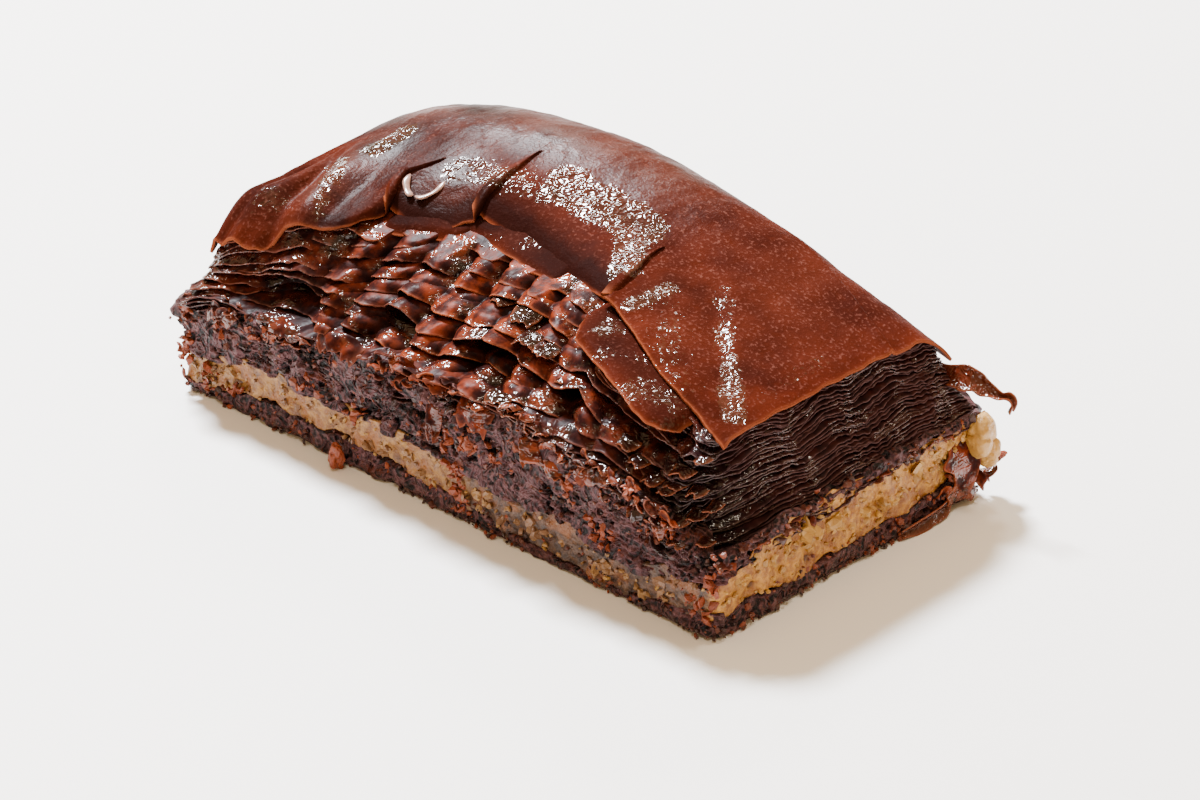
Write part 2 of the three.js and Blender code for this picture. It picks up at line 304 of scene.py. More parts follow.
def waves(along, phase):
    """Three crossed sine waves of unlike lengths, from -1 to 1."""
    return (
        np.sin(along * 0.83 + phase) + np.sin(along * 1.71 + phase * 2.3)
        + np.sin(along * 0.37 + phase * 0.7)
    ) / 3


# %% Dome
CREST_HEIGHT, CREST_X, CREST_Y, CREST_LEAN = 27.0, -7.0, 8.5, 0.1


def dome(x, y):
    """Height of the glazed leaf: the crest, less a cubic fall to the left, a 1.5th-power fall to the
    right, a rounded drop to the front, a steeper front left shoulder and a drop to the back."""
    to_left = np.maximum(0, CREST_X - x) / (CREST_X + HALF_LENGTH)
    to_right = np.maximum(0, x - CREST_X) / (HALF_LENGTH - CREST_X)
    crest_y = CREST_Y + CREST_LEAN * x
    to_front = np.maximum(0, crest_y - y)
    to_back = np.maximum(0, y - crest_y) / (HALF_WIDTH - crest_y)
    front_drop = (
        10.3 * bell((x + 11) / np.where(x < -11, 33.0, 19.0)) * (1 - np.exp(-((to_front / 17) ** 1.6)))
    )
    left_end = 3.0 * to_front / (crest_y + HALF_WIDTH)
    shoulder = 2.8 * smooth((-11 - y) / 6) * smooth((-14 - x) / 12)
    return (
        CREST_HEIGHT - 7.6 * to_left**3 - 11.2 * to_right**1.5
        - lerp(left_end, front_drop, smooth((x + HALF_LENGTH) / 20)) - shoulder - 5.5 * to_back**2.2
    )


grid_x, grid_y = np.meshgrid(np.linspace(-34, 32, 67), np.linspace(-16, 18, 35))
print("dome from", dome(grid_x, grid_y).min().round(1), "to", dome(grid_x, grid_y).max().round(1), "mm")


# %% Nut band
FILLING_TOP, LAYER_GAP = 7.6, 0.3
# Places along a cut face, and the lower and the upper border of the nut band there.
FRONT_BAND = (
    (-36, -30, -26, -20, -15, -10, -4, 1, 5, 9.5, 14, 18, 22, 27, 33),
    (1.3, 1.4, 2.6, 2.8, 2.7, 2.8, 2.5, 2.7, 1.9, 1.4, 1.1, 0.9, 0.9, 1.3, 2.4),
    (4.6, 5.0, 6.0, 6.1, 6.3, 5.6, 6.1, 6.4, 5.4, 4.8, 5.0, 5.0, 4.0, 4.6, 5.6),
)
RIGHT_BAND = (
    (-19.2, -17.2, -14, -10, 2, 12, 19.2),
    (2.9, 2.8, 2.7, 2.1, 2.5, 3.0, 3.1),
    (5.6, 6.6, 7.4, 8.4, 8.6, 8.6, 8.3),
)


def filling_top(x, y):
    """Top of the nut band: flat, dipping at the front right corner."""
    return FILLING_TOP - 1.9 * bell(np.hypot(x - HALF_LENGTH, y + HALF_WIDTH) / 18)


def band_border(x, y, border):
    """Height of a border of the nut band where it shows: one line along the front, another at the end."""
    front = np.interp(x, FRONT_BAND[0], FRONT_BAND[border])
    right = np.interp(y, RIGHT_BAND[0], RIGHT_BAND[border])
    return lerp(front, right, smooth((x - 33) / 2.5))


def band_bottom(x, y):
    """Lower border of the nut band where it shows."""
    return band_border(x, y, 1)


def band_top(x, y):
    """Upper border of the nut band where it shows."""
    return band_border(x, y, 2)


print("nut band at x = 0 from", band_bottom(0, -19).round(1), "to", band_top(0, -19).round(1), "mm")


# %% Set-back and mouths
# The leaves are cut flush up to this share of the height. Above it they step back, at the glaze by
# these millimetres on three sides.
CUT_SHARE = 0.5
TOP_INSET = {"right": 4.5, "back": 1.2, "left": 2.2}
# The leaves part at this share of the height, at these places (x, half width).
GAP_LEVEL = 0.63
GAP_MOUTHS = ((-22.5, 3.5), (-9.0, 2.8), (4.5, 3.6), (16.0, 1.8))


def front_inset(x):
    """How far the glazed leaf's front edge stands back: 13 mm left of the middle, 3 mm at the corners."""
    off = np.abs(x + 6)
    fall = np.where(x < -6, (off / 17) ** 3, (off / 27) ** 2.2)
    return lerp(3.0, 13.0, np.exp(-fall))


def gap_mouth(x):
    """1 at the middle of each place where the leaves part along the front, 0 between them."""
    return np.max([bell((x - at) / width) for at, width in GAP_MOUTHS], axis=0)


print("the glazed leaf stands back", front_inset(np.array([-36.0, -6.0, 36.0])).round(1), "mm")


# %% [markdown]
# ## Unevenness
# Nothing on a baked pastry is regular. A noise texture could move the surface at render time, but then
# the mesh itself would stay smooth. Here the unevenness is worked out for the points of the mesh, from
# fixed numbers at the corners of a lattice, so every run gives the same piece.

# %% Random hills
def lattice(i, j, k, seed):
    """A fixed number from -1 to 1 for each whole-numbered place: its three coordinates are multiplied
    by large odd numbers, added up, and the bits of the sum are mixed."""
    mixed = (i * 374761393 + j * 668265263 + k * 974634777 + seed * 362437) & 0xFFFFFFFF
    mixed = ((mixed ^ (mixed >> 13)) * 1274126177) & 0xFFFFFFFF
    return (mixed ^ (mixed >> 16)) / 2.0**31 - 1.0


def hills(x, y, z, size, seed=0):
    """Soft random hills from -1 to 1, one about size mm across: the lattice's numbers at the eight
    corners of a cell, blended by a soft step along each axis."""
    place = [c / size + 71.3 for c in np.broadcast_arrays(x, y, z)]
    cell = [np.floor(c).astype(np.int64) for c in place]
    share = [smooth(c - i) for c, i in zip(place, cell)]
    total = np.zeros(place[0].shape)
    for corner in range(8):
        step = [(corner >> axis) & 1 for axis in range(3)]
        weight = 1.0
        for s, one in zip(share, step):
            weight = weight * (s if one else 1 - s)
        total += weight * lattice(*(i + one for i, one in zip(cell, step)), seed)
    return total


def rough(x, y, z, size, octaves, seed=0):
    """Hills on hills: each octave is turned, half as large and half as high as the one before."""
    total, high = 0.0, 1.0
    for octave in range(octaves):
        total = total + high * hills(x, y, z, size, seed + 17 * octave)
        x, y, z = 0.8 * x - 0.6 * z, 0.36 * x + 0.8 * y + 0.48 * z, 0.48 * x - 0.6 * y + 0.64 * z
        size, high = size / 2, high / 2
    return total


print("hills at three places:", hills(np.array([0.0, 1.0, 2.0]), 0, 0, 4.0).round(2))


# %% [markdown]
# ## From arrays to meshes
# Every piece below is a grid of points that closes on itself. A thin leaf is one sheet of points and a
# second sheet under it, joined by a rounded rim. The helpers here put such grids into meshes, keep the
# faces pointing outwards, and hang the finished piece on its body, its node and its finish.

# %% Grids
def grid_faces(rows, columns, wrap_rows, wrap_columns):
    """Quads between neighbouring points of a grid whose rows or columns may close on themselves."""
    i = np.arange(rows if wrap_rows else rows - 1)
    j = np.arange(columns if wrap_columns else columns - 1)
    i, j = (a.ravel() for a in np.meshgrid(i, j, indexing="ij"))
    i_next, j_next = (i + 1) % rows, (j + 1) % columns
    corners = [i * columns + j, i * columns + j_next, i_next * columns + j_next, i_next * columns + j]
    return np.stack(corners, axis=1)


def volume(points, faces):
    """Signed volume inside closed faces: positive where they point outwards."""
    a, b, c = points[faces[:, 0]], points[faces[:, 1]], points[faces[:, 2]]
    total = np.einsum("ij,ij->i", a, np.cross(b, c)).sum()
    if faces.shape[1] == 4:
        d = points[faces[:, 3]]
        total += np.einsum("ij,ij->i", a, np.cross(c, d)).sum()
    return total / 6


# %% A piece
def piece(name, parts, material, slot, marks=None, smooth_faces=True):
    """One object from parts = [(points, [faces, ...]), ...] in millimetres, each turned outwards. Marks
    are numbers at its points that the material reads."""
    all_points, all_faces, start = [], [], 0
    for points, face_sets in parts:
        points_out = sum(volume(points, faces) for faces in face_sets) > 0
        for faces in face_sets:
            all_faces += ((faces if points_out else faces[:, ::-1]) + start).tolist()
        all_points.append(points)
        start += len(points)
    mesh = bpy.data.meshes.new(name)
    mesh.from_pydata((np.concatenate(all_points) * MM).tolist(), [], all_faces)
    mesh.polygons.foreach_set("use_smooth", np.full(len(all_faces), smooth_faces))
    for mark, values in (marks or {}).items():
        mesh.attributes.new(mark, "FLOAT", "POINT").data.foreach_set("value", values.astype(np.float32))
    mesh.materials.append(material)
    mesh.update()
    thing = bpy.data.objects.new(name, mesh)
    bpy.context.scene.collection.objects.link(thing)
    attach(thing, "root")
    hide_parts(slot)
    print(name, sum(len(f) - 2 for f in all_faces), "triangles")


def joined(known):
    """The marks of several parts, as those of the one mesh that they make."""
    return {name: np.concatenate([marks[name] for marks in known]) for name in known[0]}


def all_over(points, value):
    """The same number at each point."""
    return np.full(len(points), float(value))


# %% Thin sheets
def upright(points, wrap):
    """Unit vectors that stand on a sheet of points: the cross product of its two directions."""
    if wrap:
        along = np.roll(points, -1, 0) - np.roll(points, 1, 0)
    else:
        along = np.gradient(points, axis=0)
    across = np.gradient(points, axis=1)
    normal = np.cross(along, across)
    normal /= np.linalg.norm(normal, axis=2, keepdims=True) + 1e-12
    return normal * np.sign(normal[..., 2:3].sum() or 1)


def closed_tube(loop):
    """A form that closes both ways, from rows x columns of points."""
    rows, columns = loop.shape[:2]
    return loop.reshape(-1, 3), [grid_faces(rows, columns, True, True)]


def thin_ring(top, thickness):
    """A closed band: top is rows x columns of points, its rows run round and its first column is the
    outer edge. The under side lies thickness below, and both meet in a rounded edge."""
    under = top - upright(top, True) * thickness
    outward = top[:, :1] - top[:, 1:2]
    outward /= np.linalg.norm(outward, axis=2, keepdims=True) + 1e-12
    edge = (top[:, :1] + under[:, :1]) / 2 + outward * thickness * 0.4
    return closed_tube(np.concatenate([edge, top, under[:, ::-1]], axis=1))


def thin_patch(top, thickness):
    """A closed sheet with a border all round: its under side is the same grid, thickness below, and
    quads join the two borders."""
    under = top - upright(top, False) * thickness
    rows, columns = top.shape[:2]
    points = np.concatenate([top.reshape(-1, 3), under.reshape(-1, 3)])
    faces = grid_faces(rows, columns, False, False)
    index = np.arange(rows * columns).reshape(rows, columns)
    border = np.concatenate([index[0, :-1], index[:-1, -1], index[-1, :0:-1], index[:0:-1, 0]])
    following = np.roll(border, -1)
    below = rows * columns
    wall = np.stack([following, border, border + below, following + below], axis=1)
    return points, [faces, faces[:, ::-1] + below, wall]


# %% Closed sheets and forms
def patches(name, sheets, thickness, material):
    """One object of thin patches = [(points, marks), ...]. The marks hold for both sides."""
    known = [{mark: np.tile(values.ravel(), 2) for mark, values in marks.items()} for _, marks in sheets]
    parts = [thin_patch(points, thickness) for points, _ in sheets]
    piece(name, parts, material, "upper_pastry", joined(known))


def closed_rings(rings):
    """A closed form from rings x points: quads between the rings, and a fan of triangles that closes
    the first and the last ring round its middle."""
    rows, around = rings.shape[:2]
    points = np.concatenate([rings.reshape(-1, 3), rings[:1].mean(1), rings[-1:].mean(1)])
    here = np.arange(around)
    following, top = (here + 1) % around, (rows - 1) * around
    first = np.stack([np.full(around, rows * around), following, here], axis=1)
    last = np.stack([np.full(around, rows * around + 1), top + here, top + following], axis=1)
    return points, [grid_faces(rows, around, False, True), first, last]


# %% [markdown]
# ## Walking round the piece
# The leaves end on four sides. One walk round the outline, anticlockwise from the front left corner,
# gives every ring below the same points: close together on the front and the right end, where the
# leaves are seen best, and wider apart at the back. Four separate strips would be simpler, but a leaf
# would then have a seam at each corner.

# %% The walk
SIDES = ("front", "right", "back", "left")
SIDE_LENGTHS = (LENGTH, WIDTH, LENGTH, WIDTH)


class Walk:
    """Points round the outline: the side's number, the share of that side, and the way walked in mm."""

    def __init__(self, front, right, back, left):
        counts = (front, right, back, left)
        self.corners = np.cumsum((0.0,) + SIDE_LENGTHS)
        self.side = np.repeat(np.arange(4), counts)[:, None]
        self.share = np.concatenate([np.arange(n) / n for n in counts])[:, None]
        self.along = self.corners[self.side] + self.share * np.array(SIDE_LENGTHS)[self.side]

    def outline(self, front, right, back, left):
        """Plan points that stand in from the four cut faces: front is a function of x, the rest are
        numbers or rows of numbers."""
        x_left, x_right, y_back = left - HALF_LENGTH, HALF_LENGTH - right, HALF_WIDTH - back
        x_front, x_back = lerp(x_left, x_right, self.share), lerp(x_right, x_left, self.share)
        y_front = front(x_front) - HALF_WIDTH
        y_right = lerp(front(x_right) - HALF_WIDTH, y_back, self.share)
        y_left = lerp(y_back, front(x_left) - HALF_WIDTH, self.share)
        x = np.choose(self.side, [x_front, x_right + 0 * x_front, x_back, x_left + 0 * x_front])
        y = np.choose(self.side, [y_front + 0 * y_left, y_right, y_back + 0 * y_left, y_left])
        return x, y

    def on(self, *sides):
        """1 on those sides, 0 on the others, with a soft change over 1.5 mm at the corners."""
        total = 0.0
        for number in (SIDES.index(name) for name in SIDES if name in sides):
            inside = np.minimum(self.along - self.corners[number], self.corners[number + 1] - self.along)
            total = total + smooth(inside / 1.5)
        return total


# %% Corners and outward directions
def rounded(x, y, radius):
    """Plan points with their four corners rounded. Near a corner the rings are squares round a middle
    point; each point is moved along its ray until the square has become a circle."""
    for sign_x, sign_y in ((1, -1), (1, 1), (-1, 1), (-1, -1)):
        edge_x, edge_y = sign_x * np.max(sign_x * x[:, 0]), sign_y * np.max(sign_y * y[:, 0])
        off_x, off_y = sign_x * (x - edge_x) + radius, sign_y * (y - edge_y) + radius
        inside = (off_x > 0) & (off_y > 0)
        ratio = np.where(inside, np.maximum(off_x, off_y) / (np.hypot(off_x, off_y) + 1e-9), 1.0)
        x = np.where(inside, edge_x + sign_x * (off_x * ratio - radius), x)
        y = np.where(inside, edge_y + sign_y * (off_y * ratio - radius), y)
    return x, y


def outwards(x, y):
    """Unit vectors in plan that point out of the outline: across the way from the point before to the
    one after."""
    way_x, way_y = (np.roll(c[:, :1], -1, 0) - np.roll(c[:, :1], 1, 0) for c in (x, y))
    length = np.hypot(way_x, way_y) + 1e-9
    return way_y / length, -way_x / length


leaf_walk = Walk(470, 260, 230, 150)
print("each leaf is walked in", len(leaf_walk.side), "steps")


# %% [markdown]
# ## Finish of the glazed leaf
# The glazed leaf is cocoa pastry under dried syrup: red-brown, smooth to the touch, and in places
# covered with wrinkles a third of a millimetre apart, which break every glint into white crumbs of
# light. A texture image could show this from one side only, so each finish is a net of soft noises.
# The leaf itself hardly shines; a glossier shader takes its place where the syrup dried in wrinkles.

# %% Glazed leaf and syrup
GLINT = {"IOR": 1.5, "Specular_IOR_Level": 0.45}


def worms(bench, size_mm, distortion=1.4):
    """Winding ridges: noise folded about its middle value, so that its level lines stand up."""
    folded = bench.noise(size_mm, 0.0, 0.5, distortion) * 2 - 1
    return 1 - bench.node("ShaderNodeMath", {"operation": "ABSOLUTE"}, {0: folded})


def glazed_leaf():
    """Red-brown leaf with painted light on and through its edges, painted shade on its bent front and darker
    clouds, a satin film, and glossy winding ridges where the syrup is wrinkled.
    """
    bench = Bench("glazed_leaf", IOR=1.02, Specular_IOR_Level=0.5)
    broad, blotch, speck = bench.noise(6, 3), bench.noise(1.1, 4), bench.noise(0.32, 2)
    colour = bench.mix(bench.window(broad, 0.2, 0.85), (47, 17, 12), (74, 30, 19))
    colour = bench.mix(bench.window(blotch, 0.45, 0.75) * 0.3, colour, (70, 24, 10))
    colour = bench.mix(bench.window(speck, 0.54, 0.72) * 0.4, colour, (120, 74, 64))
    # painted light coming through the thin leaf near its free edges
    colour = bench.mix(bench.marks("thin") * 0.5, colour, (84, 28, 9))
    # painted shade on the bent front and under the glaze, and a darker tone in clouds
    colour = bench.mix(bench.marks("shade"), colour, (26, 10, 8))
    # painted highlight on the free edges
    colour = bench.mix(bench.marks("rim") * 0.6, colour, (150, 80, 52))
    dried = bench.window(bench.marks("wrinkled") * 0.6 + bench.noise(0.5, 1) * 0.5, 0.46, 0.56)
    soft = bench.bump(bench.noise(1.8, 1), 0.1, 0.6)
    calm = bench.bump(blotch, 0.06, 0.8, over=soft)
    calm = bench.bump(speck, 0.07, 0.9, over=calm)
    bench.finish(colour, bench.window(broad, 0.3, 0.7) * 0.1 + 0.4, calm)
    satin = bench.marks("satin") * bench.window(blotch, 0.1, 0.5)
    bench.sparkle(satin, colour, 0.4, calm, IOR=1.5, Specular_IOR_Level=0.13)
    ridges = bench.bump(worms(bench, 1.05), 0.17, 1.0, over=soft)
    return bench.sparkle(dried, colour, 0.12, ridges, **GLINT)


def syrup():
    """Drops of dried syrup, painted pale: a painted highlight."""
    bench = Bench("syrup", IOR=1.5)
    # painted highlight: the pale colour stands for the glints on the drops
    colour = bench.mix(bench.noise(0.8, 2), (110, 72, 62), (176, 140, 128))
    return bench.finish(colour, 0.22, bench.bump(bench.noise(0.9, 1), 0.03, 0.5))


GLAZE, SYRUP_PAINTED_HIGHLIGHT = glazed_leaf(), syrup()
print("finishes:", GLAZE.name, SYRUP_PAINTED_HIGHLIGHT.name)


# %% [markdown]
# ## Finishes under the glaze
# The leaves below are the same pastry with less syrup: painted near-black in valleys, mouths and deeper
# inside, a painted shade, redder where light comes through a thin edge, with painted light on the rim, and
# wet in drops. The cut crust is dry and matte with open cells, and the nuts are moist; both are painted
# darker in their pits and holes, a painted shade. One brown for all would look like clay, so each finish
# mixes two colours by the marks that its mesh carries, such as how warm, hollow or wet a place is.

# %% Leaves under it
def stacked_leaf():
    """Dark to red pastry with painted light on its rim, painted near-black shade in hollows, and glossy drops
    where it is wet.
    """
    bench = Bench("stacked_leaf", IOR=1.1, Specular_IOR_Level=0.5)
    blotch, fleck = bench.noise(1.3, 4), bench.noise(0.5, 3)
    dark = bench.mix(blotch, (12, 6, 8), (32, 16, 18))
    red = bench.mix(bench.window(blotch, 0.35, 0.7), (44, 14, 10), (130, 50, 21))
    colour = bench.mix(bench.marks("warm"), dark, red)
    # painted shade: near-black in crimp valleys, under mouths and on the core
    colour = bench.mix(bench.marks("hollow") * 0.8, colour, (8, 4, 5))
    # painted highlight on the rim, redder where the leaf is warm
    rim = bench.mix(bench.marks("warm"), (64, 49, 51), (146, 76, 48))
    colour = bench.mix(bench.marks("rim") * bench.window(fleck, 0.2, 0.6), colour, rim)
    wet = bench.window(bench.noise(2.6, 2), 0.44, 0.6) + bench.marks("wet") * 0.7
    drops = bench.window(wet * 0.4 + bench.noise(0.5, 1) * 0.7, 0.6, 0.7)
    calm = bench.bump(bench.noise(1.2, 2), 0.14, 0.8)
    bench.finish(colour, bench.window(blotch, 0.2, 0.8) * 0.1 + 0.36, calm)
    ridges = bench.bump(worms(bench, 0.9), 0.12, 1.0, over=calm)
    ridges = bench.bump(bench.noise(0.5, 1, stretch=(0.18, 0.18, 1.5)), 0.16, 1.0, over=ridges)
    return bench.sparkle(drops, colour, 0.16, ridges, **GLINT)


LEAF = stacked_leaf()
print("finish:", LEAF.name)


# %% Cut crust and nut paste
def cut_crust():
    """Matte dark pastry with winding cells, painted dark where they sink as painted shade, pale flecks and
    orange places; pits are painted darker, a painted shade.
    """
    bench = Bench("cut_crust", IOR=1.4, Specular_IOR_Level=0.3)
    blotch, fleck, grit = bench.noise(1.6, 4), bench.noise(0.45, 4), bench.noise(0.18, 3)
    cells = worms(bench, 2.0, 2.4)
    # painted shade: dark where the cells sink, violet-grey on their ridges
    colour = bench.mix(bench.window(cells, 0.62, 0.95), (10, 5, 8), (88, 55, 58))
    colour = bench.mix(bench.window(blotch, 0.45, 0.7) * 0.6, colour, (62, 34, 36))
    colour = bench.mix(bench.window(fleck, 0.52, 0.64) * 0.5, colour, (122, 86, 88))
    colour = bench.mix(bench.window(bench.noise(2.4, 4, 0.65), 0.56, 0.66), colour, (84, 34, 17))
    # painted shade: near-black in the pits
    colour = bench.mix(bench.window(bench.marks("pit_shade"), 0.1, 0.8), colour, (14, 7, 10))
    normal = bench.bump(cells, 0.65, 1.0)
    normal = bench.bump(fleck, 0.2, 1.0, over=normal)
    normal = bench.bump(grit, 0.08, 1.0, over=normal)
    return bench.finish(colour, bench.window(fleck, 0.3, 0.8) * 0.25 + 0.4, normal)


def nut_paste():
    """Tan paste, greyer where it is dull, with holes painted darker as painted shade, and dirt from the
    pastry.
    """
    bench = Bench("nut_paste", IOR=1.46)
    blotch, fleck, grit = bench.noise(2.6, 4), bench.noise(0.7, 4), bench.noise(0.25, 3)
    tan = bench.mix(bench.window(fleck, 0.3, 0.7), (140, 86, 32), (194, 140, 60))
    grey = bench.mix(bench.window(fleck, 0.3, 0.7), (38, 26, 24), (86, 60, 46))
    colour = bench.mix(bench.marks("dull"), tan, grey)
    colour = bench.mix(bench.window(blotch, 0.48, 0.62) * 0.7, colour, (128, 72, 24))
    dirt = bench.window(bench.noise(1.5, 4, 0.6), 0.57, 0.66)
    colour = bench.mix(dirt * (bench.marks("dull") * 0.75 + 0.15), colour, (38, 24, 24))
    # painted shade: darker in the holes
    colour = bench.mix(bench.window(bench.marks("pit_shade"), 0.15, 0.9) * 0.7, colour, (60, 34, 22))
    normal = bench.bump(fleck, 0.25, 1.0)
    normal = bench.bump(grit, 0.1, 1.0, over=normal)
    return bench.finish(colour, 0.42, normal)


CRUST, PASTE = cut_crust(), nut_paste()
print("finishes:", CRUST.name, PASTE.name)


# %% Chopped nuts and crumbs
def grains(name, ior, size_mm, low_pair, high_pair, bump_mm, gloss):
    """Small grains: the mark tone leads from one pair of colours to another, and gloss = (how far the
    roughness varies, its least value)."""
    bench = Bench(name, IOR=ior)
    fleck = bench.noise(size_mm, 4)
    colour = bench.mix(bench.marks("tone"), bench.mix(fleck, *low_pair), bench.mix(fleck, *high_pair))
    normal = bench.bump(bench.noise(bump_mm, 3), 0.1, 1.0)
    return bench.finish(colour, bench.window(fleck, 0.3, 0.7) * gloss[0] + gloss[1], normal)


NUT = grains(
    "nut_bits", 1.47, 0.6, ((84, 54, 38), (134, 96, 66)), ((160, 112, 48), (204, 160, 84)), 0.35, (0.2, 0.28),
)
CRUMB = grains(
    "pastry_crumbs", 1.46, 0.4, ((32, 20, 20), (66, 42, 38)), ((92, 30, 11), (156, 70, 30)),
    0.25, (0.25, 0.3),
)
print("finishes:", NUT.name, CRUMB.name)


# %% [markdown]
# ## The table
# A plain pale sheet under the piece catches the shadow. It belongs to the picture, not to the piece.
# It could be a room with walls, but nothing of one shows, so four corners are enough.

# %% Table
HALF_TABLE = 3.0


def table_finish():
    """Nearly white, with the faintest unevenness."""
    bench = Bench("pale_table")
    tint = bench.mix(bench.noise(60, 2), (249, 248, 246), (251, 250, 248))
    return bench.finish(tint, 0.55, bench.bump(bench.noise(3, 2), 0.02, 0.2))


table_corners = [(HALF_TABLE * x, HALF_TABLE * y, 0) for x, y in ((-1, -1), (1, -1), (1, 1), (-1, 1))]
table_mesh = bpy.data.meshes.new("table")
table_mesh.from_pydata(table_corners, [], [(0, 1, 2, 3)])
table_mesh.materials.append(table_finish())
table = bpy.data.objects.new("table", table_mesh)
bpy.context.scene.collection.objects.link(table)
table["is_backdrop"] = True
print("table", 2 * HALF_TABLE, "m wide")


# %% [markdown]
# ## The stack of leaves
# Seventeen cocoa leaves lie between the nuts and the glaze. Real ones are one sheet each, but only a
# few millimetres of each show at its edge, so each is made as a closed band that runs round the piece.
# On the front slope a leaf bends down over the next one, and all are crimped in the same columns. At
# four places they part into dark mouths. On the right end they are cut nearly flush and lie in waves.

# %% Where the cut crust ends
LEAF_COUNT = 17
# Along the front: x, and the height of the crust there.
CRUST_FRONT = (
    (-36, -30, -20, -12, -5, 15, 22, 30, 36),
    (10.3, 10.9, 11.9, 12.6, 13.4, 13.2, 12.0, 10.2, 7.6),
)


def crust_top(walk, x, y):
    """Height where the dense cut crust gives way to separate leaf edges, on each side."""
    front = np.interp(x, *CRUST_FRONT) + 0.9 * rough(x, 0, 0, 4.5, 3, 9)
    right = band_top(x, y) + np.interp(y, (-19.2, -14, -8), (2.4, 1.2, 0.9))
    back = np.interp(x, (-36, -30, 30, 36), (10.3, 11.5, 11.0, 9.1))
    heights = [front, right, back, 10.3 + 0 * x]
    return np.choose(walk.side, heights) + 0.45 * hills(x, y, 0, 2.2, 5)


print("crust up to", max(CRUST_FRONT[1]), "mm on the front")


# %% Pleats along the front
# Millimetres inwards from a leaf's edge where its points lie, from one crimp to the next, and over which the
# painted light on a rim fades.
REACH = np.array([[0.0, 0.08, 0.22, 0.45, 0.75, 1.2, 1.8, 2.6, 3.6, 5.0]])
CRIMP, RIM_FADE = 4.4, 0.09


def pleated(x):
    """Where along the front the leaves are crimped: 1 in the middle, less on the right, 0 at the left."""
    return smooth((x + 22) / 6) * lerp(1.0, 0.45, smooth((x - 5) / 8)) * smooth((34 - x) / 8)


def crimp(x):
    """Columns of rounded ridges with sharp valleys: the size of a cosine, from -1 to 1. They wander."""
    wandering = x + 1.3 * hills(x, 0, 0, 9, 21)
    return (2 * np.abs(np.cos(np.pi * wandering / CRIMP)) ** 0.8 - 1) * pleated(x)


def sheet_cap(x, on_front):
    """How far below the dome all leaves stay: deeper along the front, where single sheets lie on them."""
    return 0.6 + on_front * (0.3 + 0.3 * smooth((x - 9) / 3)) * smooth((33 - x) / 3) * smooth((x + 20) / 2)


print("pleated at -30, 0 and 20 mm:", pleated(np.array([-30.0, 0.0, 20.0])).round(2))


# %% How far the leaves stand back
def stepped_back(x, level):
    """Set-back of a leaf's front edge: none up to half the height, or up to less near the right corner,
    then more and more towards the glazed leaf's. On the left the leaves above the lowest ones stand
    back further, so that a wide ledge shows."""
    start = lerp(CUT_SHARE, 0.22, smooth((x - 14) / 14))
    ledge = 2.4 * bell((x + 21) / 7) * smooth((level - 0.46) / 0.05) * (1 - smooth((level - 0.52) / 0.33))
    full = front_inset(x) + 0.8 * smooth((x - 14) / 14)
    return ledge + full * np.clip((level - start) / (1 - start), 0, 1) ** 1.05


def grouped(x, number):
    """The level at which a leaf shows along the front. On the right three leaves move closer together,
    so that a wider step parts them from the next three."""
    level, middle = (number + 0.5) / LEAF_COUNT, (3 * (number // 3) + 1.5) / LEAF_COUNT
    return lerp(level, middle + 0.3 * (level - middle), 0.35 * smooth((x - 8) / 7) * smooth((35.5 - x) / 3))


def corner_back(x, y, level):
    """How far the near corner stands back to the left: 5 mm on the front, less and less along the right
    end, so that the end runs slanting there. The lowest leaves and the highest stand back less."""
    amount = 5.0 * smooth(level / 0.25 + 0.25) * (1 - 0.6 * smooth((level - 0.6) / 0.4))
    return amount * np.clip((-4 - y) / 15.2, 0, 1) ** 2 * smooth((x - 22) / 14)


def corner_press(x, y, level):
    """How far the leaves are pressed down at the near corner: most just below half the height."""
    return 3.0 * bell(np.hypot(x - 31.5, y + 19.2) / 5.5) * bell((level - 0.42) / 0.3)


print("set-back at x = 0 for six levels:", [round(float(stepped_back(0, n / 5)), 1) for n in range(6)], "mm")


# %% [markdown]
# ## One leaf
# A leaf is worked out in four steps that share much: its plain outline, how far its edge is pushed
# out or in, its height, and what its material needs to know. One long function could do all four;
# a small class keeps what they share, and each step then fits on a page. Two leaves make a pair,
# which stays close together in some places and parts in others, as wet leaves do.

# %% What the steps share
class Leaf:
    """One leaf while it is made. Its level runs from 0 at the nuts to 1 at the glaze. What follows holds
    at each place of its edge, from 0 to 1: on which side it is, how far open the front is, and how near
    a mouth, the left end or the near corner."""

    def __init__(self, number):
        self.number, self.level = number, (number + 0.5) / LEAF_COUNT
        set_back = {name: value * smooth(self.level) ** 0.8 + REACH for name, value in TOP_INSET.items()}
        x, y = leaf_walk.outline(lambda x: stepped_back(x, grouped(x, number)) + REACH, **set_back)
        self.x, self.y = rounded(x, y, 1.2 + 1.8 * self.level)
        self.edge_x, self.edge_y = self.x[:, :1], self.y[:, :1]
        self.on_front, self.on_right = leaf_walk.on("front"), leaf_walk.on("right")
        self.open_front = self.on_front * smooth((self.level - 0.36) / 0.22)
        self.mouth = gap_mouth(self.edge_x) * self.on_front
        just_below = bell((GAP_LEVEL - 0.03 - self.level) / 0.07) * (self.level < GAP_LEVEL)
        self.under_mouth = self.mouth * just_below
        self.left_end = smooth((-30.5 - self.edge_x) / 3)
        self.near_tip = bell(np.hypot(self.edge_x - 34, self.edge_y + 17.5) / 5.5)
        self.crimped = self.open_front * crimp(self.edge_x) * (0.75 + 0.5 * self.own(4, 22))

    def hills_of(self, number, size, seed, along):
        """Soft hills that are the same for one number and unlike for the next."""
        along = leaf_walk.along if along is None else along
        return hills(along, 0, number * 7.7, size, seed)

    def own(self, size, seed, along=None):
        """Soft hills along the walk, unlike those of any other leaf."""
        return self.hills_of(self.number, size, seed, along)

    def paired(self, size, seed, along=None):
        """Soft hills along the walk, the same for both leaves of a pair."""
        return self.hills_of(self.number // 2, size, seed, along)


middle_leaf = Leaf(LEAF_COUNT // 2)
crimps = middle_leaf.crimped
print("the middle leaf is crimped from", crimps.min().round(2), "to", crimps.max().round(2))


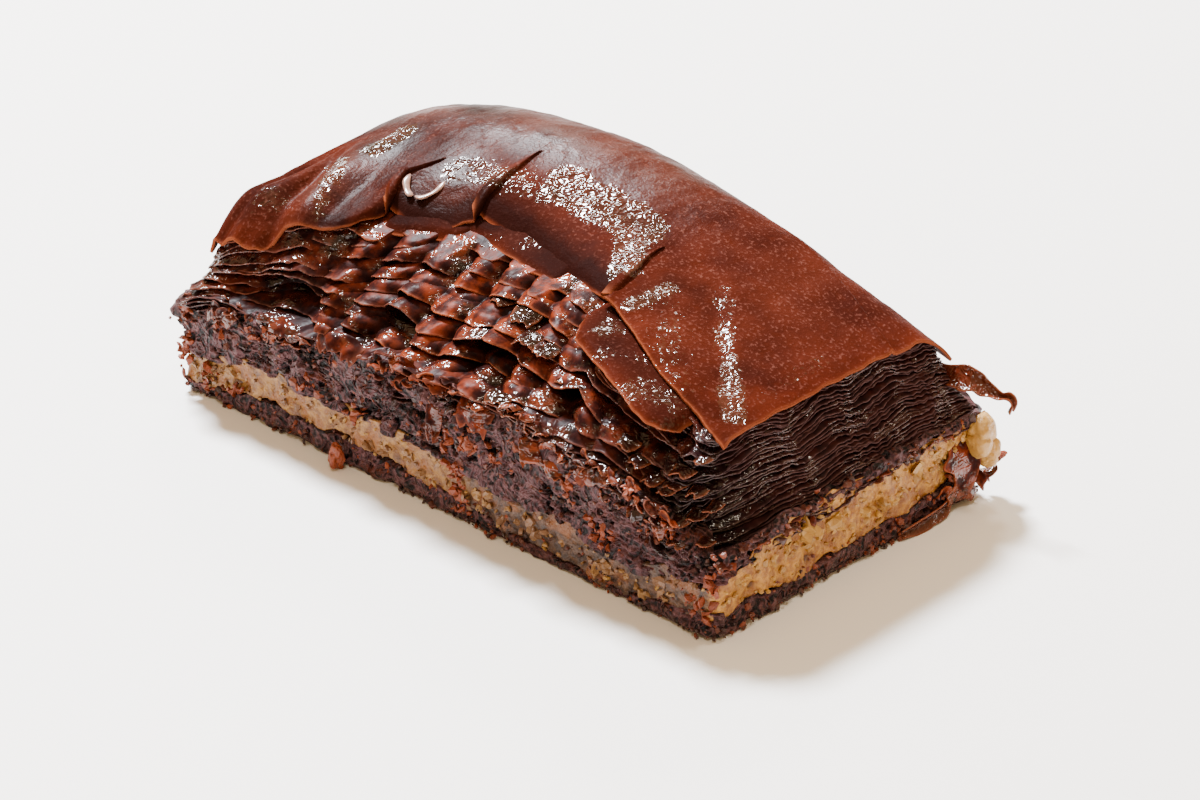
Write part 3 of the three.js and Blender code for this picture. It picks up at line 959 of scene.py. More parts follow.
# %% How far its edge is pushed
def leaf_push(leaf):
    """The crimp, less the mouths; hills of the pair and of the leaf, on the open front and at the left
    end; leaves in turn out and in at the near corner; a ragged cut. Where the crust covers the leaf it
    is drawn in, except in places where it shows."""
    edge_x, edge_y, level, number = leaf.edge_x, leaf.edge_y, leaf.level, leaf.number
    on_left = 0.8 * leaf.paired(7, 3, edge_y) + 0.6 * leaf.own(2.4, 7, edge_y)
    on_left = on_left + 0.8 * bell((level - 0.3) / 0.3)
    push = (
        0.95 * leaf.crimped - 2.0 * leaf.under_mouth - 0.12
        + leaf.open_front * (0.85 * leaf.paired(9, 3) + 0.4 * leaf.own(3.3, 7))
        + leaf.left_end * on_left
        + 0.55 * leaf.near_tip * (2 * (number % 2) - 1) * (0.7 + 0.7 * leaf.own(2.5, 29))
        + 0.2 * leaf.own(1.7, 4) + leaf.on_right * 0.35 * leaf.own(6, 28)
        + 0.08 * rough(leaf_walk.along, 0, number * 5.3, 0.6, 2, 6)
    )
    here = lerp(filling_top(edge_x, edge_y), dome(edge_x, edge_y), level)
    buried = leaf.on_front * smooth((crust_top(leaf_walk, edge_x, edge_y) - here + 0.2) / 0.9)
    shows = smooth((hills(edge_x, 0, here, 3.4, 8) - 0.15) / 0.3)
    return push - 0.9 * buried * (1 - 0.85 * shows)


pushes = leaf_push(middle_leaf)
print("its edge is pushed from", pushes.min().round(1), "to", pushes.max().round(1), "mm")


# %% Its height
def leaf_bend(leaf, lifted):
    """How far the edge bends down over the next leaf, in leaf pitches: more on pleats and at the left
    end, less where it is lifted, on the right and at the near corner."""
    bend = leaf.open_front * (0.6 + 0.3 * pleated(leaf.edge_x) + 0.45 * leaf.own(2.6, 14))
    bend = bend * (1 - 0.9 * lifted) * (1 - 0.3 * smooth((leaf.edge_x - 15) / 8)) * (1 - 0.9 * leaf.near_tip)
    return bend + 0.18 * (1 - leaf.open_front) + leaf.left_end * (0.9 + 0.8 * leaf.own(2.0, 15, leaf.edge_y))


def end_waves(leaf, y):
    """Waves of the cut leaves on the right end: two long sines, and a short one in places."""
    level, swing = leaf.level, y + 0.6 * leaf.paired(12, 25)
    long_wave = 0.45 * np.sin(2 * np.pi * swing / 8.6 + 0.8 + 1.3 * level)
    long_wave = long_wave + 0.08 * np.sin(2 * np.pi * swing / 3.1 + 4 * level)
    ripple = 0.09 * np.sin(2 * np.pi * swing / 1.25 + 5 * level)
    ripple = ripple * smooth(hills(y, level * 5, 0, 3.5, 30) + 0.5)
    return leaf.on_right * ((0.35 + 0.65 * level) * long_wave + ripple) * np.exp(-REACH / 7)


def leaf_height(leaf, x, y):
    """Height of the upper side: the leaf's share of the way from the nuts to the dome, then its crimp,
    bend and mouths, the waves of the right end, the pressed corner and fine crinkles, and at last the
    cap under the dome."""
    level, number, edge_x = leaf.level, leaf.number, leaf.edge_x
    open_front, near_tip = leaf.open_front, leaf.near_tip
    together = open_front * smooth((leaf.paired(8, 24) + 0.1) / 0.5) * (0.5 - number % 2) * 0.55
    wander = (0.34 + 0.5 * open_front) * leaf.own(9, 12)
    shown = lerp(level, grouped(edge_x, number), leaf.on_front)
    z = lerp(filling_top(x, y) + LAYER_GAP + 0.25, dome(x, y), shown + (wander + together) / LEAF_COUNT)
    above = np.clip((level - GAP_LEVEL) / (1 - GAP_LEVEL), 0, 1)
    lifted = leaf.mouth * (1 - above) * (level > GAP_LEVEL)
    z = z + 0.85 * leaf.crimped * np.exp(-REACH / 4.5) * (1 - 0.5 * lifted)
    pitch = (dome(x, y) - filling_top(x, y)) / LEAF_COUNT
    z = z - pitch * leaf_bend(leaf, lifted) * smooth(1 - REACH / 1.5) ** 2
    z = z - 0.4 * open_front * (1 - near_tip) * smooth((edge_x - 8) / 7) * smooth(1 - REACH / 2.4) ** 2
    z = z + 1.3 * lifted * np.exp(-((REACH / 4.0) ** 2)) - 0.6 * leaf.under_mouth
    z = z + leaf.on_right * 0.16 * leaf.own(5, 27) + end_waves(leaf, y) - corner_press(x, y, level)
    z = z + 0.12 * hills(x, y, z, 2.4, 31) + 0.05 * rough(x, y, z + number * 3, 0.9, 2, 33)
    crinkled = 0.45 * near_tip + 0.2 * open_front * smooth((edge_x - 2) / 10)
    crinkled = crinkled + 0.2 * smooth((-16 - edge_x) / 8)
    z = z + crinkled * rough(x, y, number * 4.1, 1.6, 2, 34) * np.exp(-REACH / 3)
    return np.minimum(z, dome(x, y) - sheet_cap(x, leaf.on_front))


heights = leaf_height(middle_leaf, middle_leaf.x, middle_leaf.y)
print("it lies from", heights.min().round(1), "to", heights.max().round(1), "mm")


# %% What its material needs to know
def leaf_marks(leaf):
    """The painted light on the rim, how red the leaf is (in the middle of the open front, on ridges), how wet
    (near the corner, on both sides of the front) and how much painted shade it gets for lying deep in a
    valley or mouth."""
    edge_x, open_front = leaf.edge_x, leaf.open_front
    reddish = lerp(0.75, 0.28, smooth((edge_x - 8) / 14) + 0.8 * smooth((-5 - edge_x) / 12))
    warm = open_front * reddish * (0.7 + 0.6 * leaf.own(5, 26)) + 0.1 + 0.25 * np.maximum(leaf.crimped, 0)
    wet = (smooth((edge_x - 2) / 10) + smooth((-16 - edge_x) / 6)) * open_front * 0.7
    marks = {
        "rim": np.exp(-REACH / RIM_FADE),
        "warm": np.clip(warm * (1 - leaf.near_tip), 0, 1),
        "wet": np.clip(1.6 * leaf.near_tip + wet, 0, 1),
        # painted shade: darker in the crimp valleys and most under the mouths
        "hollow": np.clip(0.3 - 1.1 * leaf.crimped + 1.5 * leaf.under_mouth, 0, 1) * open_front,
    }
    return {name: values + 0 * leaf.x for name, values in marks.items()}


def leaf_points(number):
    """The upper side of one leaf, and its marks."""
    leaf = Leaf(number)
    out_x, out_y = outwards(leaf.x, leaf.y)
    push = leaf_push(leaf) * np.exp(-REACH / 1.6)
    x, y = leaf.x + out_x * push, leaf.y + out_y * push
    x = x - corner_back(x, y, leaf.level)
    return np.stack([x, y, leaf_height(leaf, x, y)], axis=2), leaf_marks(leaf)


print("its marks:", *leaf_marks(middle_leaf))


# %% All leaves, four to an object
def ring_marks(marks):
    """Spreads the marks of the upper side over edge, upper side and under side, which has less of the painted
    light on its rim.
    """
    return {
        name: np.concatenate(
            [values[:, :1], values, values[:, ::-1] * (0.35 if name == "rim" else 1.0)], axis=1,
        ).ravel()
        for name, values in marks.items()
    }


for first in range(0, LEAF_COUNT, 4):
    numbers = range(first, min(first + 4, LEAF_COUNT))
    leaves = [leaf_points(number) for number in numbers]
    piece(
        f"leaves_{first + 1}_to_{numbers[-1] + 1}", [thin_ring(points, 0.15) for points, _ in leaves],
        LEAF, "upper_pastry", joined([ring_marks(marks) for _, marks in leaves]),
    )


# %% Half leaves of the right end
# The part of the walk round the right end. The edges are twice as dense there, so one more leaf lies
# between each two.
SHORT = slice(438, 735)
for first in (0, 8):
    leaves = [leaf_points(number + 0.5) for number in range(first, first + 8)]
    short = [
        (points[SHORT], {name: values[SHORT] for name, values in marks.items()}) for points, marks in leaves
    ]
    patches(f"right_leaves_{first + 1}_to_{first + 8}", short, 0.13, LEAF)


# %% [markdown]
# ## The dark inside
# Between the leaves one looks a few millimetres in and sees near-black shade. The leaves could run right
# through the piece, but nobody would see it. So a closed core a little smaller than the stack stands for all
# that lies deeper, painted near-black all over as painted shade, and no light comes through the mouths.

# %% Inner leaves
# How far the core lies inside the leaf edges, and below the dome.
CORE_INSET, CORE_BELOW = 3.6, 0.75


def inner_leaves():
    """Rings inside the leaf edges, from the nuts to just under the glaze, and over its top."""
    walk = Walk(120, 60, 120, 60)
    rings = []
    for level in np.linspace(0.0, 1.0, 14):
        inset = {name: value * smooth(level) ** 0.8 + CORE_INSET for name, value in TOP_INSET.items()}
        x, y = walk.outline(lambda x: stepped_back(x, level) + CORE_INSET + 0.8 * level, **inset)
        x = x - corner_back(x, y, level)
        z = lerp(filling_top(x, y), dome(x, y) - CORE_BELOW, level) + 0.15 * hills(x, y, 0, 1.6, 41)
        z = z - corner_press(x, y, level)
        rings.append(np.concatenate([x, y, z], axis=1))
    top_x, top_y = rings[-1][:, 0], rings[-1][:, 1]
    for share in (0.75, 0.5, 0.25, 0.06):
        x, y = top_x * share, top_y * share + (1 - share) * 2.0
        rings.append(np.stack([x, y, dome(x, y) - CORE_BELOW], axis=1))
    return closed_rings(np.stack(rings))


core = inner_leaves()
# the core is painted near-black all over: painted shade
core_marks = {name: all_over(core[0], name == "hollow") for name in ("rim", "warm", "hollow", "wet")}
piece("inner_leaves", [core], LEAF, "upper_pastry", core_marks)


# %% [markdown]
# ## The glazed leaf
# One leaf covers the dome. On its way to the cut front edge it is folded over itself three times, and
# each fold leaves a raised lip that runs straight back and dies out. A fold can't be a height field,
# because the sheet passes under itself. So the leaf is a grid in sections: at a fold the left section
# runs on a little below the lip, and one narrow strip of quads turns back up to the next section.

# %% Folds, front edge and ridges
# Each fold starts at the front edge and runs back over its length. The sheet passes TUCK mm under it.
FOLDS = (
    {"y": (-6.7, -5.1, -3.2, -1.9, -0.4, 3.0), "x": (-18.5, -19.2, -19.4, -18.3, -17.1, -15.5),
     "lip": 0.95, "length": 8.0},
    {"y": (-3.7, -2.0, -0.9, 0.4, 2.1, 8.0), "x": (-9.3, -9.7, -9.4, -9.3, -8.8, -8.4),
     "lip": 1.0, "length": 10.0},
    {"y": (-8.1, -5.5, -4.0, -2.0, 0.0, 6.0), "x": (11.7, 11.2, 11.0, 10.6, 10.3, 9.8),
     "lip": 0.95, "length": 12.0},
)
TUCK = 1.1
# The front edge of each section: x, then y.
FRONT_EDGES = (
    ((-33.5, -32, -30.2, -28, -27.1, -25.2, -24.5, -22.6, -20.8, -19.8, -18.8, -18.4, -17.4),
     (-15.9, -16.7, -16.6, -16.8, -16.6, -14.9, -14.0, -13.3, -12.5, -12.0, -10.6, -9.4, -7.5)),
    ((-18.5, -15.8, -12.9, -10.1, -9.2, -8.4), (-6.7, -7.1, -6.6, -5.9, -5.0, -4.5)),
    ((-9.3, -5.3, -0.7, 4.5, 8.5, 10.7, 12.6), (-3.7, -4.0, -4.7, -6.0, -6.8, -7.2, -7.4)),
    ((11.7, 12.9, 16, 21.9, 25.5, 29, 32.4), (-8.1, -8.2, -9.3, -11.9, -12.7, -13.4, -14.4)),
)
# Ridges and valleys of the left shoulder: x in front, x at the back, height, width.
RIDGES = (
    (-29.2, -28.6, 0.55, 1.2), (-26.5, -28.2, -0.7, 0.8), (-23.8, -25.2, 0.6, 1.5),
    (-21.6, -22.0, -0.3, 1.0), (-32.8, -32.2, 0.4, 1.3), (-31.2, -30.8, -0.45, 0.6),
)


def fold_x(fold, y):
    """Where a fold runs."""
    return np.interp(y, fold["y"], fold["x"])


def died_out(fold, y):
    """0 where a fold starts at the front edge, 1 where it has died out."""
    return smooth((y - fold["y"][0]) / fold["length"])


print("folds at x =", [round(float(fold_x(fold, 0)), 1) for fold in FOLDS], "and", len(RIDGES), "ridges")


# %% Relief of the glazed leaf
def glaze_relief(x, y, section):
    """What stands on the dome: lips that rise towards each fold from both sides and fade backwards,
    ridges and valleys of the left shoulder, a hollow that ends in a terrace on the right, a crease at
    the back right, a bulge at the front left, and soft hills."""
    total = 0.0
    for number, fold in enumerate(FOLDS):
        off, fade = x - fold_x(fold, y), 1 - died_out(fold, y)
        if section > number:
            total = total + fold["lip"] * fade * np.exp(-np.maximum(off, 0) / 2.4)
        else:
            total = total + 0.5 * fold["lip"] * fade * np.exp(np.minimum(off, 0) / 1.4)
    back = 1 - smooth((y + 7) / 9)
    for front_x, back_x, height, width in RIDGES:
        at = lerp(front_x, back_x, np.clip((y + 13) / 8, -0.5, 1.5))
        total = total + height * back * bell((x - at) / width)
    past_terrace, place = ((x - 24.5) + (y + 5.2)) * 0.7071, np.hypot(x - 24.3, y + 5.2) / 10.5
    hollow = (1 - smooth((past_terrace + 1.1) / 2.2)) * np.exp(np.minimum(past_terrace, 0) / 4.5)
    total = total - 0.6 * hollow * bell(place)
    beyond = y - np.interp(x, (15, 18.9, 26.1, 32.5), (14.6, 13.5, 10.9, 8.9))
    total = total + smooth((x - 13) / 7) * (0.3 * bell(beyond / 0.4) - 0.3 * smooth(beyond / 0.5))
    total = total + 0.9 * bell(np.hypot((x + 30.8) / 2.6, (y + 13.0) / 3.6))
    return total + 0.16 * hills(x, y / 2.2, 0, 4.5, 51) + 0.08 * rough(x, y / 1.5, 0, 1.7, 3, 52)


relief = glaze_relief(grid_x, grid_y, 2)
print("relief from", relief.min().round(1), "to", relief.max().round(1), "mm")


# %% Where the syrup is wrinkled or satin, and where shade or a darker tone is painted
# Strokes of dried wrinkles: from (x, y), to (x, y), width, strength.
WRINKLED = (
    ((-3, 2.4), (7, 2.4), 2.6, 1.0), ((6.5, 2), (10.6, -3.6), 1.7, 1.0), ((-14, -0.6), (-2, 1.6), 2.2, 0.55),
    ((18.4, 1.2), (20.4, -0.4), 1.5, 0.36), ((21.6, -2.2), (23.4, -4.4), 1.3, 0.46),
    ((25.0, -5.4), (26.7, -7.3), 1.1, 0.72), ((28.0, -8.6), (30.2, -10.8), 1.4, 0.9),
    ((14.8, -7.5), (15.0, -2.5), 0.9, 1.0), ((15.5, -4.5), (24.5, -11.5), 3.0, 0.36),
    ((-24.8, -8.0), (-27.0, -5.1), 1.4, 0.75), ((-22.5, -11.7), (-24.0, -9.5), 0.9, 0.6),
    ((-24.9, -1.7), (-24.3, 1.7), 1.5, 0.9), ((-29.1, -13.1), (-27.5, -11.8), 1.5, 0.45),
    ((29.5, 2.0), (30.5, -7.0), 1.2, 0.3),
)


def wrinkled(x, y):
    """How thick the dried wrinkles lie: a bell of the distance to the nearest point of each stroke,
    times its strength, a little uneven."""
    total, uneven = 0 * x, 1 + 0.4 * hills(x, y, 0, 2.2, 53)
    for (ax, ay), (bx, by), width, strength in WRINKLED:
        length = (bx - ax) ** 2 + (by - ay) ** 2
        share = np.clip(((x - ax) * (bx - ax) + (y - ay) * (by - ay)) / length, 0, 1)
        distance = np.hypot(x - lerp(ax, bx, share), y - lerp(ay, by, share))
        total = np.maximum(total, strength * bell((distance / width) ** 1.5) * uneven)
    return np.clip(total, 0, 1)


def satin(x, y):
    """Where the dried syrup is a satin film: the crest, less of it to the right, and two soft places on
    the left shoulder."""
    crest = smooth((y - 1) / 6) * lerp(0.85, 0.05, smooth((x - 1) / 12))
    shoulder = bell(np.hypot((x + 24.5) / 3.0, (y + 4) / 8))
    shoulder = shoulder + 0.7 * bell(np.hypot((x + 14.5) / 3.5, (y + 1) / 4))
    return np.clip(np.maximum(crest, shoulder) * (0.8 + 0.45 * hills(x, y, 0, 2.8, 54)), 0, 1)


def shade(x, y, behind):
    """How dark the leaf is painted: darker clouds on the left shoulder, a painted shade on the bent front of
    the middle, where it turns away from the light, and darker clouds all over, fewer at the crest."""
    left = smooth((-10 - x) / 10) * (0.3 + 0.7 * rough(x, y, 0, 4, 3, 55))
    front = smooth((x + 19) / 2) * smooth((13 - x) / 3)
    front = front * smooth(1 - (behind - 0.6) / 4.5) * smooth(behind / 0.6)
    clouds = 0.5 * np.maximum(rough(x, y, 0, 4, 3, 56), 0) * (1 - 0.6 * smooth((y - 1) / 5))
    return np.clip(np.maximum(left, 1.1 * front) + clouds, 0, 0.92)


print("wrinkled:", wrinkled(grid_x, grid_y).mean().round(2), "satin:", satin(grid_x, grid_y).mean().round(2))


# %% Borders of a section
LAST_SECTION = len(FOLDS)
SECTION_COLUMNS, SECTION_ROWS = (95, 62, 100, 105), 105
# Where a fold has died out, its lip counts as this far from the nearest edge.
FAR_IN = 9.0


def section_front(section, columns):
    """Columns of one section from its left fold to its right one, closer together near both, and
    where they meet the front edge, a little ragged."""
    share = np.linspace(0, 1, columns)[:, None]
    share = lerp(share, (1 - np.cos(np.pi * share)) / 2, 0.5)
    edge_x, edge_y = FRONT_EDGES[section]
    start_x = lerp(edge_x[0], edge_x[-1], share)
    front_y = np.interp(start_x, edge_x, edge_y)
    front_y = front_y + 0.16 * hills(start_x, front_y, 0, 1.6, 61)
    return share, start_x, front_y + 0.06 * rough(start_x, front_y, 0, 0.5, 2, 62)


def section_borders(section, y):
    """x of the left and the right border: the piece's end with soft waves, or a fold, which the section
    on its left passes by TUCK where the fold is open."""
    if section == 0:
        left = -33.7 - 1.4 * bell((y + 12.5) / 3.2) - 0.25 * waves(y * 1.4, 2)
    else:
        left = fold_x(FOLDS[section - 1], y)
    if section == LAST_SECTION:
        right = 32.1 + 0.15 * waves(y * 1.1, 5) + 0.35 * bell((y + 14.4) / 1.2)
    else:
        right = fold_x(FOLDS[section], y) + TUCK * (1 - died_out(FOLDS[section], y))
    return left, right


print("sections at y = 0:", [[round(float(x), 1) for x in section_borders(n, 0.0)] for n in range(4)])


# %% One section
def glaze_section(section, columns):
    """Points of one section and its marks. Rows run from the front edge, closer together there, to the back
    edge. The height is the dome's with the relief, less a droop at the front edge, a bend of the middle
    sections and a droop at the left end. The marks rim and thin, painted light on the free edge and coming
    through the thin sheet near it, are falling exponentials of the distance to the nearest free edge."""
    share, start_x, front_y = section_front(section, columns)
    v = np.linspace(0, 1, SECTION_ROWS)[None]
    back_y = 18.1 + 0.6 * share * (1 - share) * waves(start_x * 1.2, 4)
    y = lerp(-9.0, back_y, 0.35 * v + 0.65 * v**2) + (front_y + 9.0) * (1 - smooth(v / 0.6))
    left, right = section_borders(section, y)
    x, behind = lerp(left, right, share), y - front_y
    z = dome(x, y) + glaze_relief(x, y, section)
    droop = 0.25 + 0.3 * hills(start_x, 0, 0, 4, 63)
    z = z - droop * smooth(1 - behind / 1.8) ** 2
    middle = smooth((start_x + 20) / 3) * smooth((13 - start_x) / 2)
    z = z - 0.8 * middle * np.clip(1 - behind / 4.5, 0, 1) ** 1.5
    edge = np.minimum(behind, back_y - y)
    if section == 0:
        z = z - 1.3 * smooth(1 - (x - left) / 2.2) ** 2
        edge = np.minimum(edge, np.minimum(x - left, FAR_IN))
    else:
        edge = np.minimum(edge, x - left + FAR_IN * died_out(FOLDS[section - 1], y))
    if section == LAST_SECTION:
        edge = np.minimum(edge, right - x)
    edge = np.maximum(edge, 0)
    thin_reach = 1.6 + 1.6 * bell(np.hypot(x - 31, y + 14) / 8)
    # rim and thin are painted light on the edges; the last mark is painted shade on the bent front, with
    # darker clouds
    return np.stack([x, y, z], axis=2), {
        "rim": np.exp(-edge / RIM_FADE), "thin": 0.8 * np.exp(-edge / thin_reach),
        "wrinkled": wrinkled(x, y), "satin": satin(x, y), "shade": shade(x, y, behind),
    }


# %% All sections in one leaf
sections = [glaze_section(number, columns) for number, columns in enumerate(SECTION_COLUMNS)]
glaze = np.concatenate([points for points, _ in sections])
patches("glazed_top_leaf", [(glaze, joined([marks for _, marks in sections]))], 0.32, GLAZE)


# %% [markdown]
# ## Sheets that peep out under the glaze
# In three places a leaf reaches further forward than the glazed one and lies on the stack like a
# tongue. Each could be a whole leaf, but only its tongue shows. So it is a patch whose front edge is
# read off its corner points. It droops at the edge, and it runs back under the glaze far enough that
# its hidden border never shows.

# %% Sheets under the glaze
# The front edge of each sheet, how far it lies below the dome, and how much painted shade it gets under the
# glaze.
SHEETS = (
    ((-17.4, -16.8, -14.5, -12, -9.3, -7.5), (-8.0, -8.6, -8.4, -7.5, -6.6, -5.6), 0.72, 0.45),
    ((-9.6, -9.0, -6.1, -1.4, 1.6, 6.0), (-4.6, -5.4, -5.6, -6.5, -7.2, -7.4), 0.66, 0.45),
    ((11.3, 11.6, 12.3, 13.5, 16.3, 19.5, 22.0, 24.3, 25.9, 27.2, 28.0),
     (-7.6, -9.6, -11.6, -13.5, -14.5, -15.7, -16.6, -17.4, -17.5, -16.9, -15.2), 0.85, 0.22),
)


def under_sheet(edge_x, edge_y, sink, dark, columns=90, rows=40):
    """Columns from the left border to the right one, closer together at the left; rows from the front
    edge to 7 mm behind it. The height is the dome's, less the sink, the droop and the curl at the ends."""
    share = np.linspace(0, 1, columns)[:, None] ** 1.4
    across = lerp(edge_x[0], edge_x[-1], share)
    front = np.interp(across, edge_x, edge_y)
    front = front + 0.2 * hills(across, front, 0, 1.9, 64) + 0.07 * rough(across, front, 0, 0.6, 2, 65)
    behind = 7.0 * np.linspace(0, 1, rows)[None] ** 1.6
    x, y, from_left, from_right = across + 0 * behind, front + behind, across - edge_x[0], edge_x[-1] - across
    z = dome(x, y) - sink + 0.12 * hills(x, y / 2, 0, 3, 66)
    z = z - (0.35 + 0.3 * hills(across, 0, 0, 3.0, 67)) * smooth(1 - behind / 1.3) ** 2
    z = z - 0.5 * smooth(1 - from_left / 0.9) ** 2 - 0.6 * smooth(1 - from_right / 1.6) ** 2
    edge = np.minimum(behind, np.minimum(from_left, from_right))
    # painted shade: darker further under the glazed leaf and lighter at the edge that sticks out; rim and
    # thin are painted light on and through that edge
    shaded = 0.3 + dark + 0.5 * hills(x, y, 0, 3, 68) - 0.6 * np.exp(-edge / 0.6)
    return np.stack([x, y, z], axis=2), {
        "rim": np.exp(-edge / RIM_FADE), "thin": np.exp(-edge / 0.9),
        "wrinkled": np.clip(0.5 - 0.9 * dark + 0.6 * hills(x, y, 0, 2.6, 69), 0, 1),
        "shade": np.clip(shaded, 0, 0.9),
    }


patches("sheets_under_glaze", [under_sheet(*row) for row in SHEETS], 0.2, GLAZE)


# %% [markdown]
# ## Cut crust
# Low down on the front the leaves were pressed and dragged by the knife. They stand as one matte,
# crumbly crust with pits and a few torn layers. It could be more thin leaves, but they would be too
# fine to read. So it is a closed band round the piece, thick enough to reach the core, and its outer
# face is moved in and out point by point.

# %% Bands round the piece
def band(walk, rows, low, high, face_inset, depth):
    """A closed band: its outer face in rows from low to high, both functions of x and y, and four
    points that lead back inside, depth mm deep. share is 0 at the lower border and 1 at the upper one,
    on_face is 1 on the outer face alone."""
    t = np.linspace(0, 1, rows)[None]
    lead = face_inset + depth * 0.4
    inset = np.concatenate([face_inset + 0 * t, [[lead, depth, depth, lead]]], axis=1)
    share = np.concatenate([t, [[1, 1, 0, 0]]], axis=1)
    x, y = rounded(*walk.outline(lambda x: inset, inset, inset, inset), 1.3)
    on_face = np.concatenate([np.ones(rows), np.zeros(4)])[None]
    return x, y, lerp(low(x, y), high(x, y), share), share, on_face


def pushed_band(x, y, z, push):
    """The band's points moved out of their cut face by push, as a closed ring of quads."""
    out_x, out_y = outwards(x, y)
    return closed_tube(np.stack([x + out_x * push, y + out_y * push, z], axis=2))


# %% Crust
def crust_relief(x, y, z, share):
    """How far the crust stands out, and how much painted shade its pits get: clods, torn layers where a slow
    noise lets them show, pits, a rounded upper rim, and a bulge at the left end."""
    clods = rough(x, y, z, 1.7, 3, 71)
    layers = np.sin(2 * np.pi * (z + 0.35 * hills(x, y, 0, 3, 72)) / 0.62)
    layered = smooth((hills(x, y, z / 2, 4.5, 73) + 0.1) / 0.4)
    pits = smooth((rough(x, y, z * 1.5, 1.3, 3, 74) - 0.35) / 0.35)
    out = 0.42 * clods + 0.16 * layers * layered - 0.75 * pits - 0.5 * smooth((share - 0.8) / 0.2)
    left_bulge = 1.3 * smooth((-35.2 - x) / 0.5) * bell((z - 8.4) / 1.6) * (0.7 + 0.7 * hills(y, z, 0, 3, 75))
    return out + left_bulge, smooth(pits * 0.8 - clods * 0.35)


def cut_crust_band():
    """The crust from the nut band up to the leaf edges, its lower border wandering."""
    walk = Walk(520, 230, 260, 150)
    x, y, z, share, on_face = band(
        walk, 44, lambda x, y: band_top(x, y) - 0.2, lambda x, y: crust_top(walk, x, y), 0.15, 4.2,
    )
    z = z + on_face * 0.5 * rough(x, y, 0, 3.5, 3, 76) * (1 - share) ** 2
    push, pit_shade = crust_relief(x, y, z, share)
    return pushed_band(x, y, z, push * on_face), {"pit_shade": (pit_shade * on_face).ravel()}


crust, crust_marks = cut_crust_band()
piece("cut_crust", [crust], CRUST, "upper_pastry", crust_marks)


# %% [markdown]
# ## Nut band and base
# The nuts were chopped and pressed into a paste that still shows single grains. The base under them
# is the same dark pastry as the crust, pressed thin, with a crumbly rim and a flat underside. Both
# could be plain slabs with bump alone, but their borders are seen against each other, so the relief
# is in the mesh.

# %% Nut paste
paste_walk = Walk(480, 240, 240, 140)


def paste_relief(x, y, z):
    """How far the paste stands out, and where it has holes."""
    holes = smooth((rough(x, y, z, 1.9, 3, 82) - 0.75) / 0.4)
    return 0.3 * rough(x, y, z, 2.0, 4, 81) - 0.4 * holes, holes


def nut_band():
    """The paste between its two borders, which wander. It is dull on the front, more so on the right,
    and less at the back and the left end."""
    x, y, z, share, on_face = band(
        paste_walk, 30, lambda x, y: band_bottom(x, y) - 0.15, lambda x, y: band_top(x, y) + 0.2, 0.4, 5.0,
    )
    z = z + on_face * 0.75 * rough(x, y, 0, 3.0, 4, 83) * np.abs(2 * share - 1) ** 2
    push, hole = paste_relief(x, y, z)
    dull = paste_walk.on("front") * (0.46 + 0.5 * smooth((x - 1) / 6)) + 0.4 * paste_walk.on("left", "back")
    marks = {"pit_shade": (hole * on_face).ravel(), "dull": np.clip(dull, 0, 1).ravel()}
    return pushed_band(x, y, z, push * on_face), marks


paste, paste_marks = nut_band()
piece("nut_paste", [paste], PASTE, "nut_filling", paste_marks)


# %% Base
def base_rings():
    """From the middle of the underside out to the ragged rim, up its crumbly face, and back over the
    top, whose height is the nut band's lower border."""
    outline = lambda inset: rounded(*paste_walk.outline(lambda x: inset + 0 * x, inset, inset, inset), 1.2)
    insets, rings = (17, 12, 7, 3, 1.2), []
    for inset in insets:
        x, y = outline(inset)
        rings.append(np.concatenate([x, y, 0 * x], axis=1))
    for share in np.linspace(0, 1, 16):
        x, y = outline(0.25 + 0.5 * (1 - share) ** 6)
        z = (band_bottom(x, y) + 0.2 * hills(x, y, 0, 3, 93)) * share
        push = 0.3 * rough(x, y, z, 1.4, 4, 91) - 0.35 * smooth((hills(x, y, z, 0.9, 92) - 0.3) / 0.3)
        push = push + 0.3 * hills(x, y, 0, 1.9, 94) * (1 - share)
        out_x, out_y = outwards(x, y)
        rings.append(np.concatenate([x + out_x * push, y + out_y * push, z], axis=1))
    for inset in reversed(insets):
        x, y = outline(inset)
        rings.append(np.concatenate([x, y, band_bottom(x, y)], axis=1))
    return closed_rings(np.stack(rings))


base = base_rings()
piece("pressed_base", [base], CRUST, "base_pastry", {"pit_shade": all_over(base[0], 0)})


# %% [markdown]
# ## Crumbs
# The knife leaves crumbs on the cut faces: orange-brown clusters of pastry and dark grains. There are
# hundreds, so one crumb has only twenty faces: an icosahedron whose corners are pulled in and out,
# squashed and turned at random. Placing each by hand would take too long, so all crumbs of a kind are
# worked out as one array. Each lies on the relief of the face that carries it, sunk in a little.

# %% Balls to start from
GOLD = (1 + 5**0.5) / 2
BALL = np.array([
    (-1, GOLD, 0), (1, GOLD, 0), (-1, -GOLD, 0), (1, -GOLD, 0), (0, -1, GOLD), (0, 1, GOLD),
    (0, -1, -GOLD), (0, 1, -GOLD), (GOLD, 0, -1), (GOLD, 0, 1), (-GOLD, 0, -1), (-GOLD, 0, 1),
]) / np.hypot(1, GOLD)
BALL_FACES = np.array([
    (0, 11, 5), (0, 5, 1), (0, 1, 7), (0, 7, 10), (0, 10, 11), (1, 5, 9), (5, 11, 4), (11, 10, 2),
    (10, 7, 6), (7, 1, 8), (3, 9, 4), (3, 4, 2), (3, 2, 6), (3, 6, 8), (3, 8, 9), (4, 9, 5), (2, 4, 11),
    (6, 2, 10), (8, 6, 7), (9, 8, 1),
])
# Nothing that lies at the foot of the piece goes lower than this.
LOWEST = 0.02


